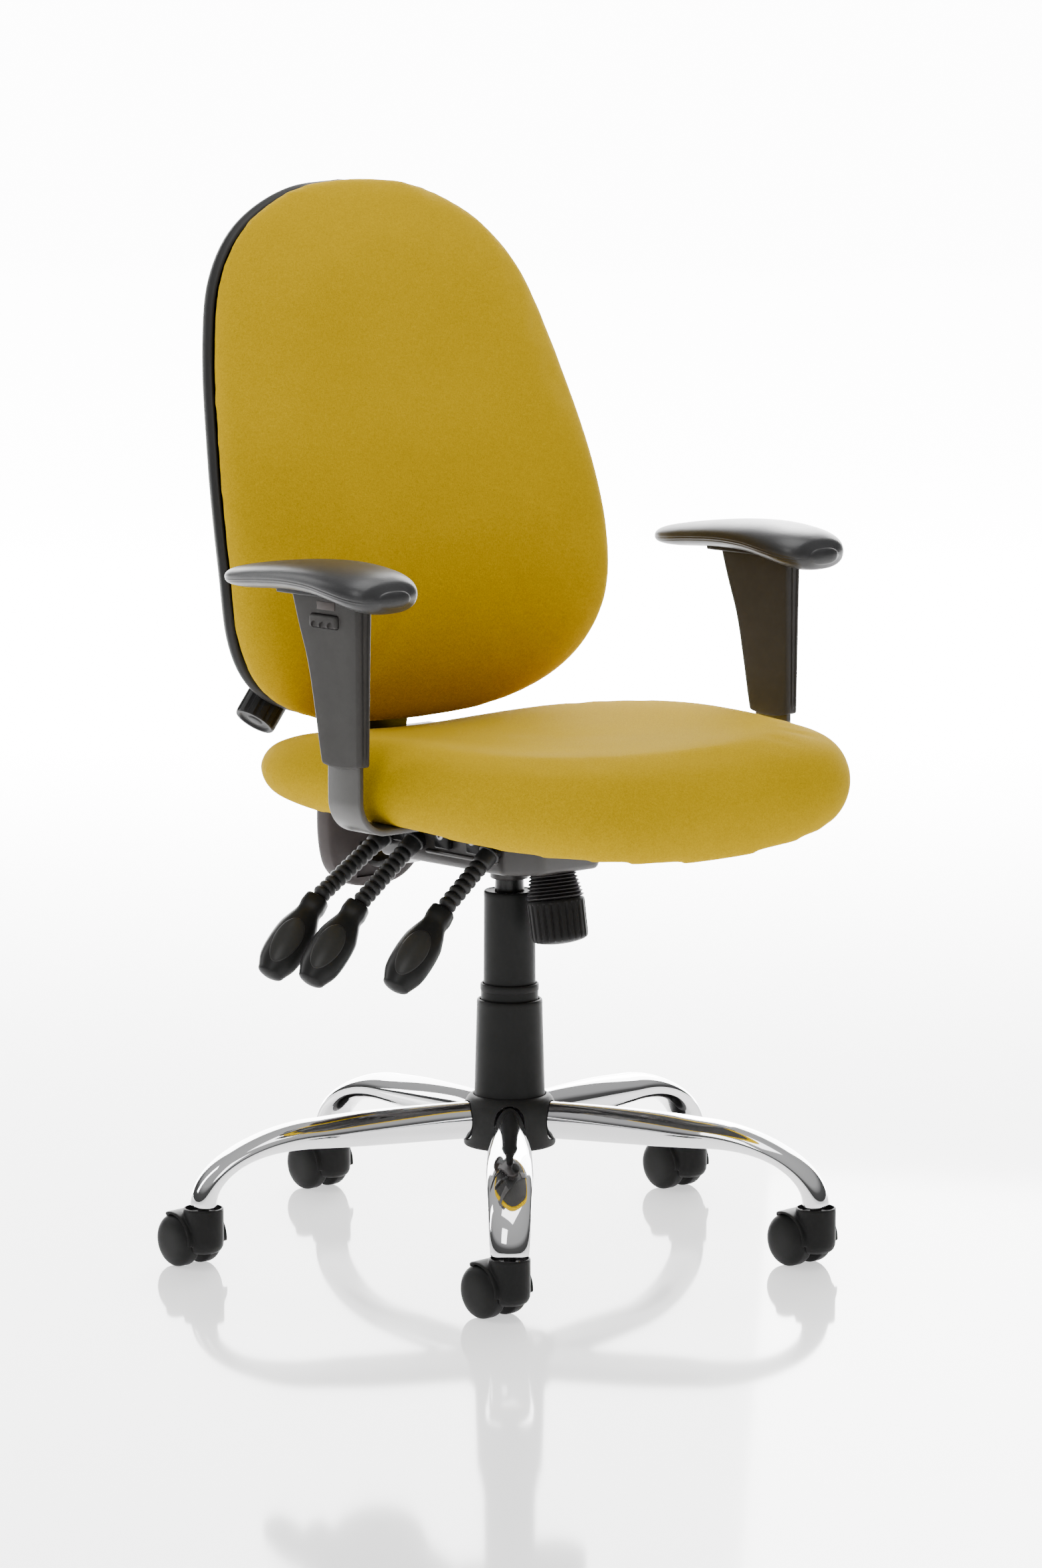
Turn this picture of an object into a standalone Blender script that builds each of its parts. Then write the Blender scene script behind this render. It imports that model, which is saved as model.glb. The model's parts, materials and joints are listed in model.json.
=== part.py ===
"""Office swivel chair: a five-leg chrome base on twin-wheel castors, a gas lift under telescopic
covers, a three-lever mechanism, an upholstered seat and high back, and two height-adjustable arms.

Metres, +Z up. The chair faces -Y. Every place is given from a datum point on the column's axis, just
below the floor; the empty named chair then puts the floor at zero and the footprint's centre at the origin.
"""

import math

import bmesh
import bpy
from mathutils import Matrix, Vector

# ---------------------------------------------------------------- driving dimensions
COLUMN = (-0.0034, -0.0232)  # column axis, from the centre of the footprint
FLOOR = 0.009  # height of the floor above the datum point
GAP = 0.0004  # clearance between pieces that touch

LEG_COUNT = 5
FIRST_LEG_DEG = 228.1  # direction of leg 1, from +X
STEM_RADIUS_FROM_AXIS = 0.303
STEM_R = 0.0055
LEG_TIP_Z = 0.0685
LEG_HUB_Z = 0.1335
LEG_BEND_START = 0.190
LEG_WALL = 0.0018

WHEEL_R = 0.025
WHEEL_WIDTH = 0.0182
WHEEL_INNER_FACE = 0.0068
TRAIL = 0.021  # from the stem back to the axle
CUP_R = 0.0190
CUP_TOP = 0.0575  # above the floor, as all of the castor

HUB_TOP = 0.1520
TUBE_R = 0.0215
TUBE_TOP = 0.300
GAS_R = 0.014
HOUSING_FLOOR = 0.380
HOUSING_TOP = 0.425
HOUSING_HALF_WIDTH = 0.062
HOUSING_FRONT = -0.086
HOUSING_REAR = 0.118
NOSE_HALF_WIDTH = 0.036
NOSE_REAR = -0.058
SHEET = 0.0025  # pressed-steel thickness

SEAT_CENTRE_Y = -0.0645
SEAT_HALF_WIDTH = 0.2450
SEAT_HALF_DEPTH = 0.237
SEAT_UNDERSIDE = 0.4525
SEAT_PLATE_Z = 0.4455  # underside of the seat plate
TILT_PIN = (0.0, -0.030, 0.4325)
RECLINE_PIN = (0.0, 0.072, 0.3935)

TENSION_TILT = math.radians(10.0)  # the knob's axis leans forward going down
TENSION_TOP = (0.0, -0.0600, HOUSING_FLOOR)
BELLOWS_LENGTH = 0.0265
KNOB_R = 0.0275
KNOB_LENGTH = 0.0435

LEVER_X = -0.0686
LEVER_Z = 0.4020
LEVERS = {  # place along Y, sleeve length, and the sleeve's angle below horizontal
    "height": (-0.0490, 0.0720, math.radians(39.0)),
    "tilt": (0.0580, 0.0860, math.radians(37.5)),
    "back": (0.1030, 0.0950, math.radians(32.0)),
}
HANDLE_ANGLE = math.radians(47.5)  # below horizontal
HANDLE_ROLL = math.radians(35.0)  # the thumb face turns towards the chair's front
HANDLE_START = 0.0028  # clearance for the bend between sleeve and handle
HANDLE_LENGTH = 0.0870

ARM_X = 0.2708  # centre of the bracket's upright
ARM_Y = -0.0797
ARM_BAR_WIDTH = 0.044
ARM_BAR = 0.006
POST_BOTTOM = 0.505
POST_TOP = 0.661
BUTTON = (0.0095, -0.0620, 0.6385)  # out from the bracket's upright, along Y, height

BAR_BEND = (0.200, 0.3475)  # y, z of the back bar's lower bend
BAR_TOP = (0.1580, 0.650)
BAR_WIDTH = 0.050
BAR_THICK = 0.006

# Back cushion: half widths and the lean of its middle surface, by height
BACK_OUTLINE = (
    (0.000, 1.020), (0.060, 1.015), (0.113, 0.996), (0.153, 0.968), (0.183, 0.927),
    (0.201, 0.875), (0.2160, 0.808), (0.2275, 0.735), (0.2310, 0.665), (0.2240, 0.600),
    (0.195, 0.552), (0.146, 0.523), (0.078, 0.508), (0.000, 0.504),
)
BACK_CURVE = ((0.48, 0.155), (0.56, 0.132), (0.62, 0.1235), (0.68, 0.1290), (0.76, 0.1485), (0.84, 0.1735),
              (0.92, 0.1970), (1.06, 0.237))
BACK_CENTRE_Z = 0.755
LUMBAR_KNOB = (-0.1420, 0.1855, 0.5330)
LUMBAR_KNOB_ANGLE = math.radians(51.5)  # below horizontal, pointing to -X


# ---------------------------------------------------------------- scene and materials
def clear_scene():
    for obj in list(bpy.data.objects):
        bpy.data.objects.remove(obj)


def material(name, colour, roughness, metallic=0.0):
    made = bpy.data.materials.new(name)
    made.use_nodes = True
    shader = made.node_tree.nodes["Principled BSDF"]
    shader.inputs["Base Color"].default_value = (*colour, 1.0)
    shader.inputs["Roughness"].default_value = roughness
    shader.inputs["Metallic"].default_value = metallic
    made.diffuse_color = (*colour, 1.0)
    return made


def pivot(name, place=(0.0, 0.0, 0.0), parent=None):
    """An empty on a joint's axis, at a place measured from the column's foot."""
    empty = bpy.data.objects.new(name, None)
    empty.empty_display_size = 0.02
    bpy.context.scene.collection.objects.link(empty)
    empty["place"] = place
    empty.parent = parent
    start = Vector(parent["place"]) if parent else Vector((0.0, 0.0, 0.0))
    empty.location = Vector(place) - start
    return empty


def node(name, mesh, look, parent, smooth_deg=35.0):
    """A named piece. Its mesh is measured from the column's foot, and its origin goes to its parent's."""
    mesh = mesh.copy()
    mesh.name = name
    mesh.transform(Matrix.Translation(-Vector(parent["place"])))
    mesh.materials.clear()
    mesh.materials.append(look)
    mesh.shade_smooth()
    mesh.set_sharp_from_angle(angle=math.radians(smooth_deg))
    obj = bpy.data.objects.new(name, mesh)
    obj.parent = parent
    bpy.context.scene.collection.objects.link(obj)
    return obj


# ---------------------------------------------------------------- mesh building
def finished(bm):
    """The bmesh as a mesh whose faces all point outwards."""
    bmesh.ops.recalc_face_normals(bm, faces=bm.faces)
    mesh = bpy.data.meshes.new("shape")
    bm.to_mesh(mesh)
    bm.free()
    return mesh


def moved(mesh, matrix):
    mesh = mesh.copy()
    mesh.transform(matrix)
    if matrix.determinant() < 0:
        mesh.flip_normals()
    return mesh


def at(x, y, z):
    return Matrix.Translation((x, y, z))


def turn(degrees, axis):
    return Matrix.Rotation(math.radians(degrees), 4, axis)


ALONG_X = Matrix(((0, 0, 1, 0), (1, 0, 0, 0), (0, 1, 0, 0), (0, 0, 0, 1)))  # a prism's Z becomes X


def lofted(rings, closed=False):
    """Faces between rings of equal length. A ring of one point is a tip. An open loft gets flat ends."""
    bm = bmesh.new()
    rows = [[bm.verts.new(point) for point in ring] for ring in rings]
    pairs = list(zip(rows, rows[1:]))
    if closed:
        pairs.append((rows[-1], rows[0]))
    for a, b in pairs:
        count = max(len(a), len(b))
        for i in range(count):
            j = (i + 1) % count
            if len(a) == 1:
                bm.faces.new((a[0], b[i], b[j]))
            elif len(b) == 1:
                bm.faces.new((a[i], b[0], a[j]))
            else:
                bm.faces.new((a[i], b[i], b[j], a[j]))
    if not closed:
        for row in (rows[0], rows[-1]):
            if len(row) > 2:
                bm.faces.new(row)
    return finished(bm)


def turned(profile, count=24, half_step=False):
    """A profile of (radius, height) points turned about Z. A closed profile never meets the axis."""
    start = math.pi / count if half_step else 0.0
    rings = []
    for radius, height in profile:
        if radius == 0.0:
            rings.append([(0.0, 0.0, height)])
            continue
        angles = [start + 2 * math.pi * i / count for i in range(count)]
        rings.append([(radius * math.cos(a), radius * math.sin(a), height) for a in angles])
    return lofted(rings, closed=min(radius for radius, _ in profile) > 0.0)


def block(size, centre=(0.0, 0.0, 0.0), bevel=0.0):
    bm = bmesh.new()
    bmesh.ops.create_cube(bm, size=1.0)
    bmesh.ops.scale(bm, vec=size, verts=bm.verts)
    bmesh.ops.translate(bm, vec=centre, verts=bm.verts)
    if bevel:
        bmesh.ops.bevel(bm, geom=bm.edges[:], offset=bevel, segments=1, profile=0.5, affect="EDGES")
    return finished(bm)


def prism(outline, low, high):
    """A flat outline in X and Y, extruded from low to high in Z."""
    return lofted([[(x, y, z) for x, y in outline] for z in (low, high)])


def combined(base, others, operation):
    """The mesh left after joining the other meshes to the base, or cutting them from it."""
    target = bpy.data.objects.new("target", base.copy())
    bpy.context.scene.collection.objects.link(target)
    helpers = []
    for other in others:
        helper = bpy.data.objects.new("cutter", other)
        helper.hide_render = True
        helper.display_type = "WIRE"
        bpy.context.scene.collection.objects.link(helper)
        modifier = target.modifiers.new("Boolean", "BOOLEAN")
        modifier.operation = operation
        modifier.object = helper
        helpers.append(helper)
    graph = bpy.context.evaluated_depsgraph_get()
    mesh = bpy.data.meshes.new_from_object(target.evaluated_get(graph))
    for used in [target, *helpers]:
        bpy.data.objects.remove(used)
    return mesh


def joined(base, *others):
    return combined(base, others, "UNION")


def cut(base, *others):
    return combined(base, others, "DIFFERENCE")


# ---------------------------------------------------------------- curves
def along(points, t):
    """The value of a smooth curve through (t, value) points."""
    points = sorted(points)
    t = min(max(t, points[0][0]), points[-1][0])
    k = max(i for i, point in enumerate(points[:-1]) if point[0] <= t)

    def slope(i):
        a = points[max(i - 1, 0)]
        b = points[min(i + 1, len(points) - 1)]
        return (b[1] - a[1]) / (b[0] - a[0])

    (t0, v0), (t1, v1) = points[k], points[k + 1]
    span = t1 - t0
    u = (t - t0) / span
    return (
        (2 * u**3 - 3 * u**2 + 1) * v0
        + (u**3 - 2 * u**2 + u) * span * slope(k)
        + (3 * u**2 - 2 * u**3) * v1
        + (u**3 - u**2) * span * slope(k + 1)
    )


def rounded_path(points, radius, steps=4):
    """A 2-D path with its inner corners replaced by arcs."""
    points = [Vector(point) for point in points]
    path = [points[0]]
    for before, corner, after in zip(points, points[1:], points[2:]):
        a = (before - corner).normalized()
        b = (after - corner).normalized()
        half = a.angle(b) / 2
        centre = corner + (a + b).normalized() * radius / math.sin(half)
        start = corner + a * radius / math.tan(half)
        sweep = math.pi - 2 * half
        side = 1.0 if a.cross(b) < 0 else -1.0
        spoke = start - centre
        for i in range(steps + 1):
            angle = side * sweep * i / steps
            cos, sin = math.cos(angle), math.sin(angle)
            path.append(centre + Vector((spoke.x * cos - spoke.y * sin, spoke.x * sin + spoke.y * cos)))
    path.append(points[-1])
    return path


def flat_bar(path, thick, width):
    """A flat bar bent along a path in (y, z), its width along X."""
    rings = []
    for i, point in enumerate(path):
        before = path[max(i - 1, 0)]
        after = path[min(i + 1, len(path) - 1)]
        ahead = (after - before).normalized()
        side = Vector((-ahead.y, ahead.x)) * thick / 2
        corners = ((-width / 2, side), (width / 2, side), (width / 2, -side), (-width / 2, -side))
        rings.append([(x, point.x + s.x, point.y + s.y) for x, s in corners])
    return lofted(rings)


def tube_along(path, radii, count=10):
    """A round bar through 3-D points, with a radius at each."""
    rings = []
    for i, point in enumerate(path):
        ahead = (Vector(path[min(i + 1, len(path) - 1)]) - Vector(path[max(i - 1, 0)])).normalized()
        across = ahead.cross(Vector((0.0, 1.0, 0.0)))
        if across.length < 0.2:
            across = ahead.cross(Vector((0.0, 0.0, 1.0)))
        across.normalize()
        other = ahead.cross(across)
        angles = [2 * math.pi * k / count for k in range(count)]
        rings.append(
            [Vector(point) + radii[i] * (across * math.cos(a) + other * math.sin(a)) for a in angles]
        )
    return lofted(rings)


# ---------------------------------------------------------------- base
def leg_section(s):
    """Half width and half height of the leg's oval tube at a fraction s of its length."""
    half_width = along(((0.0, 0.0150), (0.35, 0.0215), (0.55, 0.0225), (0.8, 0.0205), (1.0, 0.0180)), s)
    half_height = along(((0.0, 0.0180), (0.35, 0.0170), (0.55, 0.0140), (0.75, 0.0100), (1.0, 0.0125)), s)
    return half_width, half_height


def leg_centre(s):
    """Centre line of the leg in (radius, height), straight from the hub and then a quarter ellipse."""
    start = 0.0320
    straight = 0.52
    if s < straight:
        u = s / straight
        return Vector((start + (LEG_BEND_START - start) * u, LEG_HUB_Z - 0.003 * u * u))
    angle = (s - straight) / (1 - straight) * math.pi / 2
    reach = STEM_RADIUS_FROM_AXIS - LEG_BEND_START
    drop = LEG_HUB_Z - 0.003 - LEG_TIP_Z
    return Vector((LEG_BEND_START + reach * math.sin(angle), LEG_TIP_Z + drop * math.cos(angle)))


def leg_ring(s, inset, count=10):
    centre = leg_centre(s)
    ahead = (leg_centre(min(s + 0.01, 1.0)) - leg_centre(max(s - 0.01, 0.0))).normalized()
    if s in (0.0, 1.0):
        ahead = Vector((1.0, 0.0)) if s == 0.0 else Vector((0.0, -1.0))
    up = Vector((-ahead.y, ahead.x))
    half_width, half_height = leg_section(s)
    ring = []
    for k in range(count):
        angle = 2 * math.pi * k / count
        across = (half_width - inset) * math.sin(angle)
        rise = (half_height - inset) * math.cos(angle)
        spot = centre + up * rise
        ring.append((spot.x, across, spot.y))
    return ring


def stem_bore_ring(z, count=10):
    """A round ring in the leg's end, where the castor stem turns, starting on the outer side as leg_ring does."""
    radius = STEM_R + 0.0006
    angles = [2 * math.pi * k / count for k in range(count)]
    return [(STEM_RADIUS_FROM_AXIS + radius * math.cos(a), radius * math.sin(a), z) for a in angles]


def leg_mesh():
    stations = (0.0, 0.20, 0.40, 0.52, 0.62, 0.72, 0.82, 0.91, 1.0)
    outer = [leg_ring(s, 0.0) for s in stations]
    inner = [leg_ring(s, LEG_WALL) for s in stations if s < 0.8]
    bore = [stem_bore_ring(z) for z in (0.0875, LEG_TIP_Z)]
    return lofted(outer + (inner + bore)[::-1], closed=True)


def hub_core_mesh():
    bore = TUBE_R + GAP
    return turned(((bore, 0.1095), (0.031, 0.1095), (0.031, HUB_TOP), (bore, HUB_TOP)), 24)


def hub_cover_mesh():
    """A bell with an arched window for each leg and a rim that runs on under them."""
    shell = turned(
        ((0.0415, 0.1085), (0.0437, 0.1105), (0.0437, 0.143), (0.0420, 0.151), (0.0385, 0.1565),
         (0.0347, 0.1575), (0.0347, 0.1548), (0.0380, 0.1540), (0.0410, 0.148), (0.0410, 0.1085)),
        20,
    )
    slots = []
    for k in range(LEG_COUNT):
        arch = [(-0.0162, 0.1152), (0.0162, 0.1152)]
        arch += [(0.0162 * math.cos(a), 0.1355 + 0.0172 * math.sin(a))
                 for a in (math.pi * i / 4 for i in range(5))]
        slot = moved(prism(arch, 0.030, 0.050), ALONG_X)
        slots.append(moved(slot, turn(FIRST_LEG_DEG + 360.0 / LEG_COUNT * k, "Z")))
    return cut(shell, *slots)


def wheel_mesh():
    """One castor wheel about X, its domed face towards +X, with a blind bore for the axle."""
    sides = 16
    flat = WHEEL_R / math.cos(math.pi / sides)
    bore = 0.0034
    face = WHEEL_INNER_FACE + WHEEL_WIDTH
    profile = (
        (0.0, face), (0.0185, face - 0.0016), (flat - 0.0010, face - 0.0065), (flat, face - 0.0100),
        (flat, WHEEL_INNER_FACE + 0.0012), (bore, WHEEL_INNER_FACE), (bore, WHEEL_INNER_FACE + 0.0115),
        (0.0, WHEEL_INNER_FACE + 0.0115),
    )
    return moved(turned(profile, sides, half_step=True), Matrix.Rotation(math.pi / 2, 4, "Y"))


def hood_mesh():
    """Hood of one castor: stem cup and skirt, web between the wheels, thin guard, steel stem and axle.

    Its heights, like the wheel's, are above the floor.
    """
    inner, outer = WHEEL_R + 0.0012, WHEEL_R + 0.0034
    across = Matrix.Rotation(math.pi / 2, 4, "Y")
    sweep = [math.radians(a) for a in range(28, 190, 20)]
    guard = [(TRAIL + outer * math.cos(a), WHEEL_R + outer * math.sin(a)) for a in sweep]
    guard += [(TRAIL + inner * math.cos(a), WHEEL_R + inner * math.sin(a)) for a in sweep[::-1]]
    web = [(TRAIL + 0.0255 * math.cos(a), WHEEL_R + 0.0265 * math.sin(a))
           for a in (math.radians(b) for b in range(-20, 205, 24))]
    guard_mesh = moved(prism(guard, -0.0245, 0.0245), ALONG_X)
    web_mesh = moved(prism(web, -0.0058, 0.0058), ALONG_X)
    body = turned(
        ((0.0, 0.0140), (0.0120, 0.0140), (0.0165, 0.0165), (CUP_R, 0.0230), (CUP_R, CUP_TOP),
         (CUP_R - 0.0022, CUP_TOP), (CUP_R - 0.0022, 0.0530), (0.0, 0.0530)),
        16,
    )
    clear = [
        moved(turned(((0.0, -0.03), (inner, -0.03), (inner, 0.03), (0.0, 0.03)), 20),
              at(side * 0.0362, TRAIL, WHEEL_R) @ across)
        for side in (-1, 1)
    ]
    body = cut(body, *clear)
    stem_end = ((STEM_R, 0.0760), (STEM_R - 0.001, 0.0772), (0.0, 0.0772))
    stem = turned(((0.0, 0.045), (STEM_R, 0.045), *stem_end), 10)
    axle = moved(turned(((0.0, -0.0175), (0.0030, -0.0175), (0.0030, 0.0175), (0.0, 0.0175)), 8),
                 at(0, TRAIL, WHEEL_R) @ across)
    return joined(guard_mesh, web_mesh, body, stem, axle)


def build_base(chair, looks):
    node("hub_core", hub_core_mesh(), looks["steel"], chair)
    node("hub_cover", hub_cover_mesh(), looks["black"], chair)
    leg = leg_mesh()
    hood = hood_mesh()
    wheel = wheel_mesh()
    for k in range(LEG_COUNT):
        angle = FIRST_LEG_DEG + 360.0 / LEG_COUNT * k
        number = k + 1
        node(f"leg_{number}", moved(leg, turn(angle, "Z")), looks["chrome"], chair, 50)
        x = STEM_RADIUS_FROM_AXIS * math.cos(math.radians(angle))
        y = STEM_RADIUS_FROM_AXIS * math.sin(math.radians(angle))
        swivel = pivot(f"castor_{number}_swivel_axis", (x, y, FLOOR), chair)
        node(f"castor_{number}_hood", moved(hood, at(x, y, FLOOR)), looks["black"], swivel)
        axle = pivot(f"castor_{number}_axle_axis", (x, y + TRAIL, FLOOR + WHEEL_R), swivel)
        place = at(x, y + TRAIL, FLOOR + WHEEL_R)
        node(f"castor_{number}_wheel_right", moved(wheel, place @ turn(180, "Z")), looks["castor"], axle)
        node(f"castor_{number}_wheel_left", moved(wheel, place), looks["castor"], axle)


# ---------------------------------------------------------------- gas lift
def build_lift(chair, piston, lift, cover_slide, pin_slide, looks):
    wall = 0.0017
    tube = turned(
        ((0.0060, 0.1005), (TUBE_R, 0.1005), (TUBE_R, TUBE_TOP), (TUBE_R - wall, TUBE_TOP),
         (TUBE_R - wall, 0.1045), (0.0060, 0.1045)),
        20,
    )
    node("stand_tube", tube, looks["steel"], chair)
    bush_r = TUBE_R - wall - GAP
    bush = turned(((GAS_R + GAP, 0.225), (bush_r, 0.225), (bush_r, 0.298), (GAS_R + GAP, 0.298)), 20)
    node("guide_bush", bush, looks["bush"], chair)
    bearing = turned(((0.0058, 0.1049), (0.0125, 0.1049), (0.0125, 0.1125), (0.0058, 0.1125)), 20)
    node("thrust_bearing", bearing, looks["steel"], piston)
    rod = turned(
        ((0.0, 0.1015), (0.0050, 0.1015), (0.0050, 0.1129), (0.0085, 0.1129), (0.0085, 0.1180),
         (0.0050, 0.1180), (0.0050, 0.300), (0.0, 0.300)),
        16,
    )
    node("piston_rod", rod, looks["chrome"], piston)
    cylinder = turned(
        ((0.0054, 0.175), (GAS_R, 0.175), (GAS_R, 0.357), (0.0125, 0.3885), (0.0037, 0.3885),
         (0.0037, 0.369), (0.0118, 0.365), (0.0118, 0.184), (0.0054, 0.184)),
        20,
    )
    node("lift_cylinder", cylinder, looks["steel"], lift)
    pin = turned(((0.0, 0.372), (0.0032, 0.372), (0.0032, 0.3950), (0.0022, 0.3958), (0.0, 0.3958)), 12)
    node("release_pin", pin, looks["steel"], pin_slide)
    lower = turned(
        ((0.0292, 0.1525), (0.0340, 0.1525), (0.0338, 0.157), (0.0312, 0.2480), (0.0302, 0.2495),
         (0.0288, 0.2495), (0.0288, 0.157)),
        20,
    )
    node("cover_lower", lower, looks["black"], chair)
    middle = turned(
        ((0.0258, 0.185), (0.0278, 0.185), (0.0274, 0.2600), (0.0268, 0.2645), (0.0258, 0.2645)), 20
    )
    node("cover_middle", middle, looks["black"], cover_slide)
    upper = turned(
        ((0.0228, 0.215), (0.0252, 0.215), (0.0243, 0.3525), (0.0236, 0.3540), (GAS_R + GAP, 0.3540),
         (GAS_R + GAP, 0.3515), (0.0222, 0.3505)),
        20,
    )
    node("cover_upper", upper, looks["black"], lift)


# ---------------------------------------------------------------- mechanism
def housing_outline(inset):
    """The pan's plan: straight sides that turn in towards the nose."""
    side = HOUSING_HALF_WIDTH - inset
    nose = NOSE_HALF_WIDTH - 0.5 * inset
    half = [(side, HOUSING_REAR - inset), (side, NOSE_REAR + 0.4 * inset), (nose, HOUSING_FRONT + inset)]
    return half + [(-x, y) for x, y in half[::-1]]


def housing_mesh():
    """Pressed-steel pan with a narrower nose, raised ears for the tilt pin and a gas cylinder socket."""
    pan = prism(housing_outline(0.0), HOUSING_FLOOR, HOUSING_TOP)
    pan = cut(pan, prism(housing_outline(SHEET), HOUSING_FLOOR + SHEET, HOUSING_TOP + 0.01))
    ears = [
        block((SHEET, 0.022, 0.034), (side * (HOUSING_HALF_WIDTH - SHEET / 2), TILT_PIN[1] + 0.004, 0.4245))
        for side in (-1, 1)
    ]
    socket = turned(((0.0, 0.3655), (0.0185, 0.3655), (0.0185, 0.3900), (0.0, 0.3900)), 20)
    pan = joined(pan, *ears, socket)
    taper = turned(
        ((0.0, 0.350), (GAS_R + GAP, 0.350), (GAS_R + GAP, 0.357), (0.0125 + GAP, 0.3885),
         (0.0125 + GAP, 0.41), (0.0, 0.41)),
        20,
    )
    across = Matrix.Rotation(math.pi / 2, 4, "Y")
    pin_hole = turned(((0.0, -0.08), (0.0044, -0.08), (0.0044, 0.08), (0.0, 0.08)), 10)
    holes = [moved(pin_hole, at(*place) @ across) for place in (TILT_PIN, RECLINE_PIN)]
    lever_hole = turned(((0.0, -0.01), (0.0085, -0.01), (0.0085, 0.01), (0.0, 0.01)), 10)
    for y, _, _ in LEVERS.values():
        holes.append(moved(lever_hole, at(-HOUSING_HALF_WIDTH, y, LEVER_Z) @ across))
    bolt_hole = turned(((0.0, -0.02), (0.0046, -0.02), (0.0046, 0.02), (0.0, 0.02)), 10)
    holes.append(moved(bolt_hole, at(*TENSION_TOP) @ Matrix.Rotation(-TENSION_TILT, 4, "X")))
    rear_slot = block((BAR_WIDTH + 0.006, 0.02, 0.030), (0, HOUSING_REAR, HOUSING_FLOOR + 0.012))
    floor_slot = block((BAR_WIDTH + 0.006, 0.052, 0.02), (0, HOUSING_REAR - 0.020, HOUSING_FLOOR))
    return cut(pan, taper, *holes, rear_slot, floor_slot)


def seat_plate_mesh():
    """Flat steel plate under the seat, with two ears that hang from it onto the tilt pin."""
    plate = block((0.180, 0.190, 0.0035), (0, -0.010, SEAT_PLATE_Z + 0.00175), 0.0012)
    ears = []
    for side in (-1, 1):
        x = side * (HOUSING_HALF_WIDTH + 0.0008 + SHEET / 2)
        ears.append(block((SHEET, 0.020, 0.026), (x, TILT_PIN[1], 0.4345)))
    plate = joined(plate, *ears)
    hole = turned(((0.0, -0.08), (0.0044, -0.08), (0.0044, 0.08), (0.0, 0.08)), 10)
    return cut(plate, moved(hole, at(*TILT_PIN) @ Matrix.Rotation(math.pi / 2, 4, "Y")))


def cross_pin(place, half_length):
    pin = turned(((0.0, -half_length), (0.0040, -half_length), (0.0040, half_length), (0.0, half_length)), 10)
    head = turned(((0.0, -0.0018), (0.0068, -0.0018), (0.0068, 0.0018), (0.0, 0.0018)), 12)
    heads = [moved(head, at(0, 0, side * half_length)) for side in (-1, 1)]
    return moved(joined(pin, *heads), at(*place) @ Matrix.Rotation(math.pi / 2, 4, "Y"))


def tension_frame():
    """Local +Z runs down the tension bolt from the housing's floor."""
    return at(*TENSION_TOP) @ Matrix.Rotation(math.pi - TENSION_TILT, 4, "X")


def bellows_mesh():
    """Accordion sleeve: ribs outside, a plain bore inside, open at both ends."""
    ribs = 4
    start, end = 0.0046, BELLOWS_LENGTH
    outer = []
    for i in range(2 * ribs + 1):
        u = i / (2 * ribs)
        radius = 0.0205 + 0.0055 * u + (0.0 if i % 2 == 0 else 0.0020)
        outer.append((radius, start + (end - start) * u))
    inner = [(0.0225, end), (0.0185, start)]
    return turned(outer + inner, 18)


def spring_mesh():
    """Compression spring round the tension bolt."""
    turns, steps, coil, wire = 2.75, 22, 0.0125, 0.0020
    path = []
    for i in range(steps + 1):
        u = i / steps
        angle = 2 * math.pi * turns * u
        path.append((coil * math.cos(angle), coil * math.sin(angle), 0.0048 + 0.0190 * u))
    return tube_along(path, [wire] * len(path), 5)


def fluted(radius, depth, count, low, high, dome, bore, bore_depth):
    """A grip knob: a fluted side, a slightly domed far end and a blind bore in the near end."""

    def ring(scale, z):
        points = []
        for k in range(2 * count):
            angle = math.pi * k / count
            r = (radius - depth * (k % 2)) * scale
            points.append((r * math.cos(angle), r * math.sin(angle), z))
        return points

    def circle(r, z):
        return [(r * math.cos(math.pi * k / count), r * math.sin(math.pi * k / count), z)
                for k in range(2 * count)]

    rings = [[(0.0, 0.0, bore_depth)], circle(bore, bore_depth), circle(bore, low)]
    rings += [ring(0.97, low), ring(1.0, low + 0.002), ring(0.985, high - 0.003)]
    rings += [circle(radius * 0.90, high), [(0.0, 0.0, high + dome)]]
    return lofted(rings)


def build_tension(mechanism, slider, knob_axis, looks):
    frame = tension_frame()
    bolt = turned(
        ((0.0, -0.0105), (0.0075, -0.0105), (0.0075, -0.0055), (0.0038, -0.0055), (0.0038, 0.054),
         (0.0, 0.054)),
        12,
    )
    node("tension_bolt", moved(bolt, frame), looks["steel"], mechanism)
    node("tension_spring", moved(spring_mesh(), frame), looks["steel"], slider)
    node("tension_bellows", moved(bellows_mesh(), frame), looks["rubber"], slider)
    knob = fluted(KNOB_R, 0.0011, 12, BELLOWS_LENGTH + 0.0006, BELLOWS_LENGTH + KNOB_LENGTH - 0.004, 0.004,
                  0.0044, BELLOWS_LENGTH + 0.036)
    node("tension_knob", moved(knob, frame), looks["black"], knob_axis)


def lever_frame(name):
    """Local +Z runs out along the lever's sleeve, local +X faces up and out, local +Y is the chair's +Y."""
    y, _, angle = LEVERS[name]
    return at(LEVER_X, y, LEVER_Z) @ Matrix.Rotation(-math.pi / 2 - angle, 4, "Y")


def handle_frame(name):
    """Local +Z runs out along the handle from the sleeve's end, and local +X faces out of its thumb face."""
    y, sleeve, angle = LEVERS[name]
    end = at(LEVER_X - sleeve * math.cos(angle), y, LEVER_Z - sleeve * math.sin(angle))
    return end @ Matrix.Rotation(-math.pi / 2 - HANDLE_ANGLE, 4, "Y") @ Matrix.Rotation(-HANDLE_ROLL, 4, "Z")


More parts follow.
